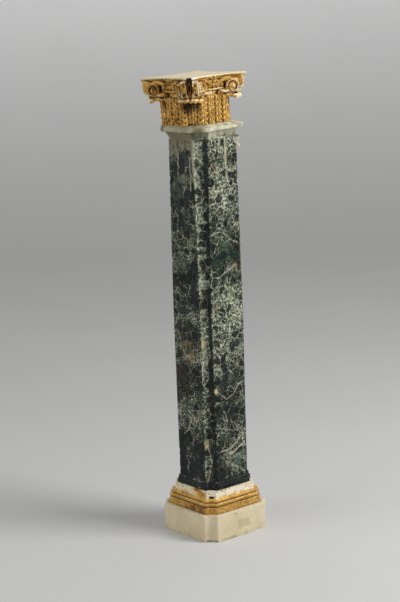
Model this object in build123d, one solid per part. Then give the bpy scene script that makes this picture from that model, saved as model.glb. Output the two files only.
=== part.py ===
from build123d import *
import os
from math import cos, pi, radians, sin, sqrt, tau

# Square limestone plinth; half sizes run from the axis to a flat face
plinth_half = 106.0
plinth_height = 71.0
plinth_scoop = 23.6

# Gilt base: fascia, roll, fillet and a hollow rising to the shaft's bed
base_half = 94.0
base_scoop = 19.6
fascia_height = 17.5
quirk_depth = 3.0
quirk_height = 1.8
roll_height = 9.6
roll_bulge = 2.6
upper_quirk_depth = 5.4
fillet_height = 4.6
fillet_setback = 4.0
fillet_ledge = 3.4
hollow_height = 20.4
bed_band_height = 2.0
bed_margin = 2.4

# Marble shaft with the foot mouldings worked on the same stone
shaft_half = 73.7
shaft_length = 912.0
foot_half = 78.1
foot_scoop = 21.1
foot_band_height = 11.4
foot_chamfer = 1.3
foot_fillet_height = 5.6
foot_fillet_projection = 2.8
foot_sweep_height = 8.0
scoop_at_foot = 23.5
scoop_at_middle = 20.9
scoop_at_head = 27.6

# The bed on top of the shaft is out of square, so collar and capital lean
head_lean_degrees = 2.2
head_lean_heading = -40.0

# Flared neck collar with canted corners, and the mortar slope up to the capital
collar_flare_height = 23.0
collar_flare = 11.5
collar_rim_half = 88.6
collar_rim_height = 8.0
collar_cant = 30.0
collar_slope_height = 8.0

# Broken lump of plaster left under the collar at one corner
lump_reach = 12.0
lump_height = 30.0
lump_thickness = 17.0

# Carved capital, bedded off centre on the collar
capital_shift_x = -9.8
capital_shift_y = 8.2
bell_half = 72.0
bell_scoop = 26.5
bell_height = 110.0
leaf_count = 4
leaf_gap = 1.6
leaf_relief = 4.4
leaf_rib_width = 5.0
leaf_rib_relief = 2.2
leaf_stem_height = 69.0
leaf_curl_radius = 6.4
leaf_curl_degrees = 130.0
leaf_curl_flats = 5
slit_width = 3.0
slit_length = 11.0
slit_depth = 4.0
slit_rows = 3

# Corner leaves, measured outward along the diagonal
corner_stem_width = 24.0
corner_stem_relief = 3.0
corner_leaf_reach = 117.0
corner_leaf_spread = 66.0
corner_leaf_lobes = 5
corner_tip_height = 63.0
corner_tip_thickness = 9.0
corner_lobe_drop = 6.0
corner_lobe_facets = 8
corner_hollow_radius = 15.0

# Splayed scrolls at the corners
volute_radius = 19.0
volute_height = 91.0
volute_out = 104.0
volute_spread = 30.0
volute_turn_degrees = 65.0
volute_thickness = 16.0
volute_ribbon = 3.4
volute_relief = 2.4
volute_turns = 1.25
volute_drop = 6.6
volute_facets = 16
eye_radius = 10.4
eye_facets = 12

# Bulging band between two scrolls, turned about a level axis, with tongues, a slot and a pendant ring
band_axis_out = 84.0
band_axis_height = 103.0
band_radius = 43.0
band_half_width = 22.0
band_from_degrees = -45.0
band_to_degrees = 12.0
tongue_relief = 2.6
tongue_half_width = 4.2
tongue_offset = 14.5
slot_half_width = 8.0
slot_depth = 8.0
ring_height = 27.0
ring_width = 11.0
ring_thickness = 3.0
ring_depth = 6.0
ring_centre_height = 95.5

# Egg roll between the volutes
egg_count = 3
egg_pitch = 19.0
egg_height = 21.0
egg_width = 14.0
egg_facets = 8
egg_relief = 10.0
egg_centre_height = 96.0
egg_ledge_height = 3.0
egg_ledge_projection = 8.0

# Abacus with hollowed sides and blunt horns; the tip of one horn is broken away
abacus_thickness = 11.0
abacus_fillet = 5.0
abacus_step = 2.6
horn_reach = 134.4
horn_width = 8.0
side_hollow = 14.0
broken_horn_loss = 9.0
fleuron_radius = 15.0
fleuron_petals = 7
fleuron_relief = 6.0

# Iron dowels that pin the stack together
dowel_radius = 8.0
dowel_clearance = 0.4
dowel_embed = 45.0
plinth_embed = 40.0

# Heights that follow
base_height = (fascia_height + quirk_height + roll_height + quirk_height
               + fillet_height + hollow_height + bed_band_height)
shaft_foot = plinth_height + base_height
shaft_top = shaft_foot + shaft_length
collar_height = collar_flare_height + collar_rim_height + collar_slope_height
bed_half = foot_half + bed_margin
capital_foot_half = bell_half + leaf_relief


def four_corners(distance):
    """Places at the four corners of a square, given its half side."""
    return [Pos(x * distance, y * distance, 0) for x in (-1, 1) for y in (-1, 1)]


def four_turns(shape):
    """The shape at each of the four sides."""
    return [Rot(0, 0, 90 * turn) * shape for turn in range(4)]


def run_round(outer):
    """Run a moulding outline, drawn as distance and height, round a square with mitred corners."""
    low = outer @ 0
    high = outer @ 1
    half = Curve() + [Line((0, 0, low.Z), low), outer, Line(high, (0, 0, high.Z))]
    whole = half + mirror(half, about=Plane.YZ)
    reach = outer.bounding_box().max.X + 1
    bar = extrude(make_face(whole), amount=reach, dir=(0, 1, 0), both=True)
    return bar & (Rot(0, 0, 90) * bar)


def returned_scoops(outer, corner_half, scoop):
    """Cutters that carry the same moulding round a scooped corner."""
    mirror_plane = Plane(origin=((scoop + corner_half) / 2, 0, 0), z_dir=(1, 0, 0))
    turned = mirror(outer, about=mirror_plane)
    low = turned @ 0
    high = turned @ 1
    if low.Z > high.Z:
        low, high = high, low
    over = 1.0
    cap = Polyline(high, (high.X, 0, high.Z + over), (0, 0, high.Z + over),
                   (0, 0, low.Z - over), (low.X, 0, low.Z - over), low)
    cutter = revolve(make_face(Curve() + [turned, cap]), Axis.Z)
    return [place * cutter for place in four_corners(corner_half)]


def dowel_hole(depth, up):
    """Socket for a dowel, from the origin up or down."""
    side = Align.MIN if up else Align.MAX
    return Cylinder(dowel_radius + dowel_clearance, depth + dowel_clearance,
                    align=(Align.CENTER, Align.CENTER, side))


def make_plinth():
    block = Box(2 * plinth_half, 2 * plinth_half, plinth_height,
                align=(Align.CENTER, Align.CENTER, Align.MIN))
    scoop = Cylinder(plinth_scoop, 2 * plinth_height + 2)
    for place in four_corners(plinth_half):
        block -= place * scoop
    return block - Pos(0, 0, plinth_height) * dowel_hole(plinth_embed, up=False)


def make_gilt_base():
    z0 = plinth_height
    z1 = z0 + fascia_height
    z2 = z1 + quirk_height
    z3 = z2 + roll_height
    z4 = z3 + quirk_height
    z5 = z4 + fillet_height
    z6 = z5 + hollow_height
    z7 = z6 + bed_band_height
    quirk = base_half - quirk_depth
    deep_quirk = base_half - upper_quirk_depth
    fillet = base_half - fillet_setback
    ledge = fillet - fillet_ledge
    hollow_middle = (bed_half + 0.3 * (ledge - bed_half), 0, z5 + 0.45 * hollow_height)
    outer = Wire([
        *Polyline((base_half, 0, z0), (base_half, 0, z1), (quirk, 0, z1), (quirk, 0, z2)).edges(),
        ThreePointArc((quirk, 0, z2), (quirk + roll_bulge, 0, (z2 + z3) / 2), (quirk, 0, z3)),
        *Polyline((quirk, 0, z3), (deep_quirk, 0, z3), (deep_quirk, 0, z4), (fillet, 0, z4), (fillet, 0, z5),
                  (ledge, 0, z5)).edges(),
        ThreePointArc((ledge, 0, z5), hollow_middle, (bed_half, 0, z6)),
        Line((bed_half, 0, z6), (bed_half, 0, z7)),
    ])
    base = run_round(outer)
    for cutter in returned_scoops(outer, base_half, base_scoop):
        base -= cutter
    return base - Cylinder(dowel_radius + dowel_clearance, 3 * shaft_foot)


def make_head_frame():
    """Frame of the leaning bed on top of the shaft."""
    lean = Rot(0, 0, head_lean_heading) * Rot(0, -head_lean_degrees, 0) * Rot(0, 0, -head_lean_heading)
    return Pos(0, 0, shaft_top) * lean


def make_shaft(head):
    z0 = shaft_foot
    z1 = z0 + foot_band_height
    z2 = z1 + foot_chamfer
    z3 = z2 + foot_fillet_height
    z4 = z3 + foot_sweep_height
    fillet = shaft_half + foot_fillet_projection
    sweep_middle = (shaft_half + 0.25 * foot_fillet_projection, 0, z3 + 0.35 * foot_sweep_height)
    outer = Wire([
        *Polyline((foot_half, 0, z0), (foot_half, 0, z1), (foot_half - foot_chamfer, 0, z2),
                  (fillet, 0, z2), (fillet, 0, z3)).edges(),
        ThreePointArc((fillet, 0, z3), sweep_middle, (shaft_half, 0, z4)),
    ])
    foot = run_round(outer)
    foot_cutter = Cylinder(foot_scoop, 2 * shaft_foot + 100)
    for place in four_corners(foot_half):
        foot -= place * foot_cutter

    over = 20.0
    top = shaft_top + over
    body = Pos(0, 0, z0) * Box(2 * shaft_half, 2 * shaft_half, top - z0,
                               align=(Align.CENTER, Align.CENTER, Align.MIN))
    middle = (z0 + shaft_top) / 2
    scoop_over = scoop_at_head + (scoop_at_head - scoop_at_middle) * over / (shaft_top - middle)
    scoop_line = Polyline((scoop_at_foot, 0, z0 - over), (scoop_at_foot, 0, z0), (scoop_at_middle, 0, middle),
                          (scoop_over, 0, top))
    cap = Polyline((scoop_over, 0, top), (0, 0, top), (0, 0, z0 - over), (scoop_at_foot, 0, z0 - over))
    scoop = revolve(make_face(Curve() + [scoop_line, cap]), Axis.Z)
    for place in four_corners(shaft_half):
        body -= place * scoop

    above = head * Box(4 * shaft_half, 4 * shaft_half, 4 * over,
                       align=(Align.CENTER, Align.CENTER, Align.MIN))
    shaft = foot + body - above
    shaft -= Pos(0, 0, z0) * dowel_hole(dowel_embed, up=True)
    return shaft - head * dowel_hole(dowel_embed, up=False)


def canted_square(half, cant):
    """Square outline with its corners cut off at forty-five degrees."""
    short = half - cant
    return Polyline((half, -short), (half, short), (short, half), (-short, half), (-half, short),
                    (-half, -short), (-short, -half), (short, -half), (half, -short))


def make_lump(shaft):
    """Jagged plaster that still clings to the arris under the collar."""
    arris = Pos(shaft_half - scoop_at_head, -shaft_half, 0)
    half = lump_thickness / 2
    outline = Polyline((-lump_reach, 0, 4), (lump_reach, 0, 4), (0.8 * lump_reach, 0, -0.3 * lump_height),
                       (lump_reach, 0, -lump_height), (0.45 * lump_reach, 0, -0.84 * lump_height),
                       (0.2 * lump_reach, 0, -0.9 * lump_height), (-0.3 * lump_reach, 0, -0.5 * lump_height),
                       (-lump_reach, 0, 4))
    slab = extrude(make_face(outline), amount=half, dir=(0, 1, 0), both=True)
    turned = Pos(0, 0, shaft_top + 3) * arris * Rot(0, 0, head_lean_heading) * slab
    return turned - shaft


def make_collar(head, shaft):
    z1 = collar_flare_height
    z2 = z1 + collar_rim_height
    flare_top = shaft_half + collar_flare
    flare_middle = (shaft_half + 0.28 * collar_flare, 0, 0.6 * z1)
    outer = Wire([
        ThreePointArc((shaft_half, 0, 0), flare_middle, (flare_top, 0, z1)),
    ])
    flared = run_round(outer)
    scoop = Cylinder(scoop_at_head, 4 * z1)
    for place in four_corners(shaft_half):
        flared -= place * scoop
    rim_outline = make_face(canted_square(collar_rim_half, collar_cant))
    rim = Pos(0, 0, z1) * extrude(rim_outline, amount=collar_rim_height)
    low_outline = Pos(0, 0, z2) * rim_outline
    foot_outline = make_face(canted_square(capital_foot_half, bell_scoop))
    high_outline = Pos(capital_shift_x, capital_shift_y, collar_height) * foot_outline
    slope = loft([low_outline, high_outline], ruled=True)
    collar = head * (flared + rim + slope)
    collar += make_lump(shaft)
    return collar - head * Cylinder(dowel_radius + dowel_clearance, 4 * collar_height)


def make_leaf(width):
    """Narrow leaf with a raised midrib and a tip that curls outward in flats."""
    wall = -bell_half
    back = 2.0
    centre = wall - leaf_relief - leaf_curl_radius
    outer_curl = []
    inner_curl = []
    for number in range(leaf_curl_flats + 1):
        angle = radians(leaf_curl_degrees * number / leaf_curl_flats)
        outer = leaf_curl_radius + leaf_relief + back
        outer_curl.append((0, centre + outer * cos(angle), leaf_stem_height + outer * sin(angle)))
        inner_curl.append((0, centre + leaf_curl_radius * cos(angle),
                           leaf_stem_height + leaf_curl_radius * sin(angle)))
    profile = make_face(Polyline((0, wall - leaf_relief, 0), (0, wall + back, 0), *outer_curl,
                                 *reversed(inner_curl), close=True))
    leaf = extrude(profile, amount=width / 2, dir=(1, 0, 0), both=True)
    rib_depth = leaf_relief + leaf_rib_relief
    rib = Pos(0, wall, 0) * Box(leaf_rib_width, rib_depth, leaf_stem_height,
                                align=(Align.CENTER, Align.MAX, Align.MIN))
    return leaf + rib


def diagonal(shape):
    """Turn a shape drawn along +X, with X outward, to a corner diagonal."""
    return Rot(0, 0, 45) * shape


def bell_corner():
    """Distance from the axis to the deepest line of a scooped bell corner."""
    return sqrt(2) * bell_half - bell_scoop


def make_corner_leaf():
    """Broad leaf that climbs the scoop and rolls over, lobed, under the volutes."""
    inner = bell_corner() - 8
    face = bell_corner() + corner_stem_relief
    half_stem = corner_stem_width / 2
    top = corner_tip_height + corner_tip_thickness
    stem = Pos(inner, 0, 0) * Box(face - inner, corner_stem_width, top, align=(Align.MIN, Align.CENTER, Align.MIN))
    hollow_x = face + corner_hollow_radius
    hollow_z = corner_tip_height - corner_hollow_radius
    web = Pos(inner, 0, hollow_z) * Box(hollow_x - inner, 1.5 * corner_stem_width, corner_hollow_radius,
                                       align=(Align.MIN, Align.CENTER, Align.MIN))
    web -= Pos(hollow_x, 0, hollow_z) * Cylinder(corner_hollow_radius, 4 * corner_stem_width, rotation=(90, 0, 0))
    lobe = corner_leaf_spread / (2 * corner_leaf_lobes - 2)
    side_count = (corner_leaf_lobes - 1) / 2
    fan = make_face(Polyline((inner, -half_stem), (corner_leaf_reach - 2 * lobe, -corner_leaf_spread / 2 + lobe),
                             (corner_leaf_reach - 1.4 * lobe, 0),
                             (corner_leaf_reach - 2 * lobe, corner_leaf_spread / 2 - lobe),
                             (inner, half_stem), close=True))
    tip = extrude(fan, amount=corner_tip_thickness)
    lobe_outline = Rot(0, 0, 180 / corner_lobe_facets) * RegularPolygon(lobe, corner_lobe_facets)
    roll = Pos(0, 0, -corner_lobe_drop) * extrude(lobe_outline, amount=corner_tip_thickness + corner_lobe_drop)
    for number in range(corner_leaf_lobes):
        place = (number - side_count) / side_count
        y = place * (corner_leaf_spread / 2 - lobe)
        x = corner_leaf_reach - lobe - 13 * place * place
        tip += Pos(x, y, 0) * roll
    return stem + web + Pos(0, 0, corner_tip_height) * tip


def make_volute():
    """Scroll with a raised ribbon wound inward in flats and a bossed eye; it looks along +Z."""
    disc = RegularPolygon(volute_radius - 1.2, volute_facets)
    drum = Pos(0, 0, -volute_thickness) * extrude(disc, amount=volute_thickness)
    outer_edge = []
    inner_edge = []
    for number in range(int(volute_turns * volute_facets) + 1):
        angle = tau * number / volute_facets
        radius = volute_radius - volute_drop * number / volute_facets
        outer_edge.append((radius * sin(angle), radius * cos(angle)))
        inner_edge.append(((radius - volute_ribbon) * sin(angle), (radius - volute_ribbon) * cos(angle)))
    ribbon = make_face(Polyline(*outer_edge, *reversed(inner_edge), close=True))
    raised = Pos(0, 0, -2) * extrude(ribbon, amount=volute_relief + 2)
    eye = extrude(RegularPolygon(eye_radius, eye_facets), amount=volute_relief + 1)
    return drum + raised + eye


def make_corner_volutes():
    """Pair of scrolls back to back on a corner, splayed away from the diagonal."""
    scroll = make_volute()
    pair = []
    for side in (-1, 1):
        mirrored = scroll if side > 0 else mirror(scroll, about=Plane.YZ)
        facing = Rot(0, 0, side * volute_turn_degrees) * Rot(0, 90, 0) * Rot(0, 0, 90)
        pair.append(Pos(volute_out, side * volute_spread, volute_height) * facing * mirrored)
    return pair


def long_octagon(length, width):
    """Octagon stretched along X, as the outline of a narrow ring."""
    x = length / 2
    y = width / 2
    shoulder = x - 0.6 * y
    return Polyline((x, -0.4 * y), (x, 0.4 * y), (shoulder, y), (-shoulder, y), (-x, 0.4 * y), (-x, -0.4 * y),
                    (-shoulder, -y), (shoulder, -y), close=True)


def make_corner_band():
    """Bulging band between a corner's two scrolls, with a tongue each side of a slot that holds a ring."""
    face = band_radius
    proud = band_radius + tongue_relief
    deep = band_radius - slot_depth
    half = [(deep, 0), (deep, slot_half_width), (proud, slot_half_width), (face, slot_half_width + 1.5),
            (face, tongue_offset - tongue_half_width), (proud, tongue_offset - 0.5 * tongue_half_width),
            (proud, tongue_offset + 0.5 * tongue_half_width), (face, tongue_offset + tongue_half_width),
            (face, band_half_width)]
    right = [(radius, y, 0) for radius, y in half]
    left = [(radius, -y, 0) for radius, y in reversed(half[1:])]
    core = 4.0
    outline = Polyline(*left, *right, (core, band_half_width, 0), (core, -band_half_width, 0), close=True)
    wedge = revolve(Rot(0, -band_from_degrees, 0) * make_face(outline), Axis((0, 0, 0), (0, -1, 0)),
                    band_to_degrees - band_from_degrees)
    wedge = Pos(band_axis_out, 0, band_axis_height) * wedge
    inner = bell_corner() - 6
    foot = corner_tip_height + corner_tip_thickness - 1
    filler = Pos(inner, 0, foot) * Box(band_axis_out + 14 - inner, 2 * band_half_width, bell_height - foot,
                                       align=(Align.MIN, Align.CENTER, Align.MIN))
    rim = make_face(long_octagon(ring_height, ring_width))
    hole = make_face(long_octagon(ring_height - 2 * ring_thickness, ring_width - 2 * ring_thickness))
    ring = extrude(rim - hole, amount=ring_depth + 2)
    slot_floor = band_axis_out + band_radius - slot_depth - 3
    return wedge + filler + Pos(slot_floor, 0, ring_centre_height) * Rot(0, 90, 0) * ring


def make_egg():
    """Egg of the roll, standing on its narrow end, cut in flat facets."""
    half = egg_width / 2
    outline = [(0.3, -0.5), (0.72, -0.3), (1, 0.06), (0.82, 0.36), (0.3, 0.5)]
    rings = [Pos(0, 0, egg_height * z) * Rot(0, 0, 180 / egg_facets) * RegularPolygon(half * x, egg_facets)
             for x, z in outline]
    return loft(rings, ruled=True)


def make_ledge():
    """Narrow ledge under the eggs, running round the bell."""
    ledge_half = bell_half + egg_ledge_projection
    ledge = Box(2 * ledge_half, 2 * ledge_half, egg_ledge_height)
    for place in four_corners(ledge_half):
        ledge -= place * Cylinder(bell_scoop + egg_ledge_projection, 2 * egg_ledge_height)
    return Pos(0, 0, egg_centre_height - egg_height / 2) * ledge


def make_abacus():
    """Slab with hollowed sides and blunt horns, in two steps."""
    half_tip = horn_width / 2

    def outline(setback):
        reach = horn_reach - setback
        far = (reach + half_tip) / sqrt(2)
        near = (reach - half_tip) / sqrt(2)
        middle = near - side_hollow - 0.4 * setback
        side = Curve() + [
            ThreePointArc((-near, -far), (0, -middle), (near, -far)),
            Line((near, -far), (far, -near)),
        ]
        return make_face(Curve() + four_turns(side))

    lower = extrude(outline(abacus_step), amount=abacus_thickness - abacus_fillet + 1)
    upper = Pos(0, 0, abacus_thickness - abacus_fillet) * extrude(outline(0), amount=abacus_fillet)
    return Pos(0, 0, bell_height) * (lower + upper)


def make_fleuron():
    """Open flower on the middle of one side of the abacus."""
    points = []
    for number in range(2 * fleuron_petals):
        angle = pi * (number + 0.5) / fleuron_petals
        reach = fleuron_radius if number % 2 else 0.6 * fleuron_radius
        points.append((reach * sin(angle), 0, reach * cos(angle)))
    flower = extrude(make_face(Polyline(*points, close=True)), amount=fleuron_relief, dir=(0, 1, 0), both=True)
    boss = Pos(0, -fleuron_relief, 0) * Box(0.5 * fleuron_radius, 5, 0.5 * fleuron_radius, rotation=(0, 45, 0),
                                            align=(Align.CENTER, Align.MAX, Align.CENTER))
    return flower + boss


def make_slits():
    """Drilled slits between the leaves of one face, pointed at both ends."""
    half_width = slit_width / 2
    half_length = slit_length / 2
    outline = make_face(Polyline((0, 0, half_length), (half_width, 0, 0), (0, 0, -half_length),
                                 (-half_width, 0, 0), close=True))
    slit = extrude(outline, amount=slit_depth, dir=(0, 1, 0), both=True)
    slits = []
    for column in range(leaf_count + 1):
        x = (column - leaf_count / 2) * leaf_pitch()
        for row in range(slit_rows):
            z = (row + 0.75) * leaf_stem_height / slit_rows - 4 * (column % 2)
            slits.append(Pos(x, -bell_half, z) * slit)
    return slits


def leaf_pitch():
    return 2 * (bell_half - bell_scoop) / leaf_count


def make_bell():
    """Core of the capital, square with scooped corners."""
    core = Box(2 * bell_half, 2 * bell_half, bell_height, align=(Align.CENTER, Align.CENTER, Align.MIN))
    scoop = Cylinder(bell_scoop, 3 * bell_height)
    for place in four_corners(bell_half):
        core -= place * scoop
    return core


def make_capital():
    pitch = leaf_pitch()
    leaf = make_leaf(pitch - leaf_gap)
    face_parts = []
    for number in range(leaf_count):
        x = (number - (leaf_count - 1) / 2) * pitch
        face_parts.append(Pos(x, 0, 0) * leaf)
    egg = make_egg()
    for number in range(egg_count):
        x = (number - (egg_count - 1) / 2) * egg_pitch
        face_parts.append(Pos(x, -bell_half - egg_relief + egg_width / 2, egg_centre_height) * egg)
    fleuron_y = -(horn_reach - horn_width / 2) / sqrt(2) + side_hollow
    face_parts.append(Pos(0, fleuron_y, bell_height - 2) * make_fleuron())
    corner_parts = [make_corner_leaf(), make_corner_band(), *make_corner_volutes()]
    corner_parts = [diagonal(piece) for piece in corner_parts]

    capital = make_bell()
    for piece in face_parts + corner_parts:
        capital += four_turns(piece)
    capital += make_ledge()
    capital += make_abacus()
    for slit in make_slits():
        capital -= four_turns(slit)
    top = bell_height + abacus_thickness
    slab = Pos(0, 0, top) * Box(400, 400, 60, align=(Align.CENTER, Align.CENTER, Align.MIN))
    capital -= slab
    break_notch = Pos(horn_reach - broken_horn_loss, 0, bell_height - 2) * Box(
        40, 2 * slot_half_width + 1, 40, align=(Align.MIN, Align.CENTER, Align.MIN))
    return capital - Rot(0, 0, -135) * break_notch


def main():
    os.makedirs("parts", exist_ok=True)
    head = make_head_frame()
    capital_place = head * Pos(capital_shift_x, capital_shift_y, collar_height)

    plinth = make_plinth()
    gilt_base = make_gilt_base()
    shaft = make_shaft(head)
    collar = make_collar(head, shaft)
    capital = capital_place * make_capital()
    capital -= head * Pos(0, 0, collar_height) * dowel_hole(dowel_embed, up=True)

    lower_length = plinth_embed + base_height + dowel_embed
    lower_dowel = Pos(0, 0, plinth_height - plinth_embed - dowel_clearance)
    lower_dowel = lower_dowel * Cylinder(dowel_radius, lower_length, align=(Align.CENTER, Align.CENTER, Align.MIN))
    upper_length = 2 * dowel_embed + collar_height
    upper_dowel = head * Pos(0, 0, -dowel_embed - dowel_clearance)
    upper_dowel = upper_dowel * Cylinder(dowel_radius, upper_length, align=(Align.CENTER, Align.CENTER, Align.MIN))

    export_step(plinth, "parts/plinth.step")
    export_step(gilt_base, "parts/gilt_base.step")
    export_step(shaft, "parts/shaft.step")
    export_step(collar, "parts/neck_collar.step")
    export_step(capital, "parts/capital.step")
    export_step(lower_dowel, "parts/lower_dowel.step")
    export_step(upper_dowel, "parts/upper_dowel.step")

    abacus_top = capital_place * Pos(0, 0, bell_height + abacus_thickness)
    print("abacus top", abacus_top.position, "normal", Plane(abacus_top).z_dir)
    print("shaft foot", shaft_foot, "shaft top", shaft_top)


main()
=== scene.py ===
import itertools
import math

import bpy
import numpy as np
from mathutils import Matrix, Vector


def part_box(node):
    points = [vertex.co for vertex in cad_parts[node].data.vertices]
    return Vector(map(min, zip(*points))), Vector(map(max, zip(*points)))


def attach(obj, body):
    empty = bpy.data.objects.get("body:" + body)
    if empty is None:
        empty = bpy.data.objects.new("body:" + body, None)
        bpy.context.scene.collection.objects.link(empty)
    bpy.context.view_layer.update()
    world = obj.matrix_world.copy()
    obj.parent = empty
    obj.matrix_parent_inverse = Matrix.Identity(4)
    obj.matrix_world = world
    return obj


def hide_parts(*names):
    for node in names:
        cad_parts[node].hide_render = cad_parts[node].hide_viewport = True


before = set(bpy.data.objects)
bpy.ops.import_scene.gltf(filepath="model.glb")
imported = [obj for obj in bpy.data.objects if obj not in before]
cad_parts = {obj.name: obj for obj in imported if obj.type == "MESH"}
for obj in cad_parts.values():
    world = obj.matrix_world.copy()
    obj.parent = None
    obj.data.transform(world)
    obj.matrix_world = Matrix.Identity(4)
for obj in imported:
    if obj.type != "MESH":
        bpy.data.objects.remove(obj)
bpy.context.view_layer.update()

# Shapes are worked out in millimetres and turned to metres when a mesh is made
MM = 0.001


def node_box(name):
    """Lowest and highest corner of a node of the frame, in millimetres."""
    low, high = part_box(name)
    return np.array(low) / MM, np.array(high) / MM


plinth_high = node_box("plinth")[1]
base_high = node_box("gilt_base")[1]
shaft_low, shaft_high = node_box("shaft")

# Plinth
plinth_half = plinth_high[0]
plinth_top = plinth_high[2]
plinth_scoop = 23.6

# Gilt base, from its fascia up to the bed of the shaft
base_half = base_high[0]
base_top = base_high[2]
base_scoop = 19.6
fascia_top = plinth_top + 17.5
roll_low = fascia_top + 1.8
roll_high = roll_low + 9.6
fillet_low = roll_high + 1.8
fillet_high = fillet_low + 4.6

# Marble shaft
foot_half = shaft_high[0]
foot_scoop = 21.1
shaft_half = 73.7
shaft_foot = shaft_low[2]
shaft_top = shaft_foot + 912
shaft_middle = (shaft_foot + shaft_top) / 2
scoop_at_foot = 23.5
scoop_at_middle = 20.9
scoop_at_head = 27.6

# The leaning head: neck collar and capital
lean = math.radians(2.2)
lean_heading = math.radians(-40)
collar_height = 39.0
capital_shift = (-9.8, 8.2)
head_frame = (Matrix.Translation((0, 0, shaft_top)) @ Matrix.Rotation(lean_heading, 4, "Z")
              @ Matrix.Rotation(-lean, 4, "Y") @ Matrix.Rotation(-lean_heading, 4, "Z"))
capital_frame = head_frame @ Matrix.Translation((*capital_shift, collar_height))

# Camera, as the photograph was taken
camera_azimuth = math.radians(-40.09)
camera_distance = 4.199
camera_height = 1.493
camera_aside = -0.0208
camera_pitch = math.radians(11.81)
camera_roll = math.radians(-2.02)
camera_lens = 98.67


# Noise and small sums

def lattice(cells, seed):
    """Repeatable values from 0 to 1 for whole-number cells."""
    mixed = cells[..., 0] * 73856093 ^ cells[..., 1] * 19349663 ^ cells[..., 2] * 83492791 ^ (seed * 40503 + 9176)
    mixed = (mixed ^ (mixed >> 13)) * 1274126177 & 0xFFFFFFFF
    mixed = (mixed ^ (mixed >> 15)) * 2246822519 & 0xFFFFFFFF
    return ((mixed ^ (mixed >> 16)) & 0xFFFFF) / 0xFFFFF


def noise(points, size, seed):
    """Smooth noise from 0 to 1, with features about size across."""
    scaled = points / size
    cell = np.floor(scaled).astype(np.int64)
    part = scaled - cell
    part = part * part * (3 - 2 * part)
    total = np.zeros(len(points))
    for corner in itertools.product((0, 1), repeat=3):
        weight = np.prod(np.where(np.array(corner) == 1, part, 1 - part), axis=1)
        total += weight * lattice(cell + np.array(corner), seed)
    return total


def rough(points, size, seed, layers=3):
    """Noise from -1 to 1 with finer layers added."""
    total = np.zeros(len(points))
    reach = 0.0
    for layer in range(layers):
        strength = 0.5 ** layer
        total += strength * (2 * noise(points, size * strength, seed + layer) - 1)
        reach += strength
    return total / reach


def step(value, low, high):
    """Smooth step: 0 at low, 1 at high, whichever way round they are."""
    part = np.clip((value - low) / (high - low), 0, 1)
    return part * part * (3 - 2 * part)


def patches(points, size, seed, low, high):
    """Scattered patches, 1 inside and 0 outside, with soft edges."""
    return step(noise(points, size, seed), low, high)


def between(value, start, full, last, stop):
    """1 from full to last, and 0 before start and after stop."""
    return step(value, start, full) * step(value, stop, last)


def hump(value, centre, width):
    """Smooth hump of height 1."""
    return np.exp(-((value - centre) / width) ** 2)


def far_from(points, centre, size=1):
    """Distance from a centre, 1 at an ellipsoid of these half sizes."""
    return np.linalg.norm((points - np.array(centre)) / np.array(size), axis=1)


# Mesh making

def ring_faces(rings, count):
    """Quads between neighbouring closed rings that have the same number of points."""
    ring, place = np.meshgrid(np.arange(rings - 1), np.arange(count), indexing="ij")
    here = (ring * count + place).reshape(-1)
    beside = (ring * count + (place + 1) % count).reshape(-1)
    return np.stack([here, beside, beside + count, here + count], axis=1)


def mesh_of(name, points, quads, caps=()):
    """Smooth mesh from points in millimetres, quads and a few larger faces."""
    mesh = bpy.data.meshes.new(name)
    faces = quads.tolist() + [list(cap) for cap in caps]
    mesh.from_pydata((points * MM).tolist(), [], faces)
    mesh.polygons.foreach_set("use_smooth", [True] * len(faces))
    mesh.update()
    return mesh


def tube(name, rings):
    """Closed mesh through rings of points, an array of rings by points by 3."""
    count = rings.shape[1]
    last = (len(rings) - 1) * count
    caps = [range(count - 1, -1, -1), range(last, last + count)]
    return mesh_of(name, rings.reshape(-1, 3), ring_faces(len(rings), count), caps)


def places(mesh):
    """Points of a mesh in millimetres."""
    flat = np.empty(3 * len(mesh.vertices))
    mesh.vertices.foreach_get("co", flat)
    return flat.reshape(-1, 3) / MM


def set_places(mesh, points):
    """Puts the points of a mesh at these places in millimetres."""
    mesh.vertices.foreach_set("co", (points * MM).reshape(-1))
    mesh.update()


def normals(mesh):
    """Smooth normals of the points of a mesh."""
    flat = np.empty(3 * len(mesh.vertices), dtype=np.float32)
    mesh.vertex_normals.foreach_get("vector", flat)
    return flat.reshape(-1, 3).astype(float)


def move_out(mesh, distance):
    """Moves each point along its normal by a distance in millimetres."""
    set_places(mesh, places(mesh) + normals(mesh) * distance[:, None])


def moved_by(matrix, points):
    """Points moved by a matrix, both in millimetres."""
    matrix = np.array(matrix)
    return points @ matrix[:3, :3].T + matrix[:3, 3]


def store(mesh, **masks):
    """Keeps one value a point on the mesh for each mask, for its material."""
    for name, values in masks.items():
        layer = mesh.attributes.new(name, "FLOAT", "POINT")
        layer.data.foreach_set("value", np.asarray(values, dtype=np.float32))


def store_colour(mesh, name, values):
    """Keeps one colour a point on the mesh, for its material."""
    layer = mesh.attributes.new(name, "FLOAT_COLOR", "POINT")
    filled = np.concatenate([values, np.ones((len(values), 1))], axis=1)
    layer.data.foreach_set("color", filled.astype(np.float32).reshape(-1))


def all_round(quarter):
    """A quarter of an outline, repeated all the way round."""
    turned = [quarter]
    for turn in range(3):
        last = turned[-1]
        turned.append(np.stack([-last[:, 1], last[:, 0]], axis=1))
    return np.concatenate(turned)


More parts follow.
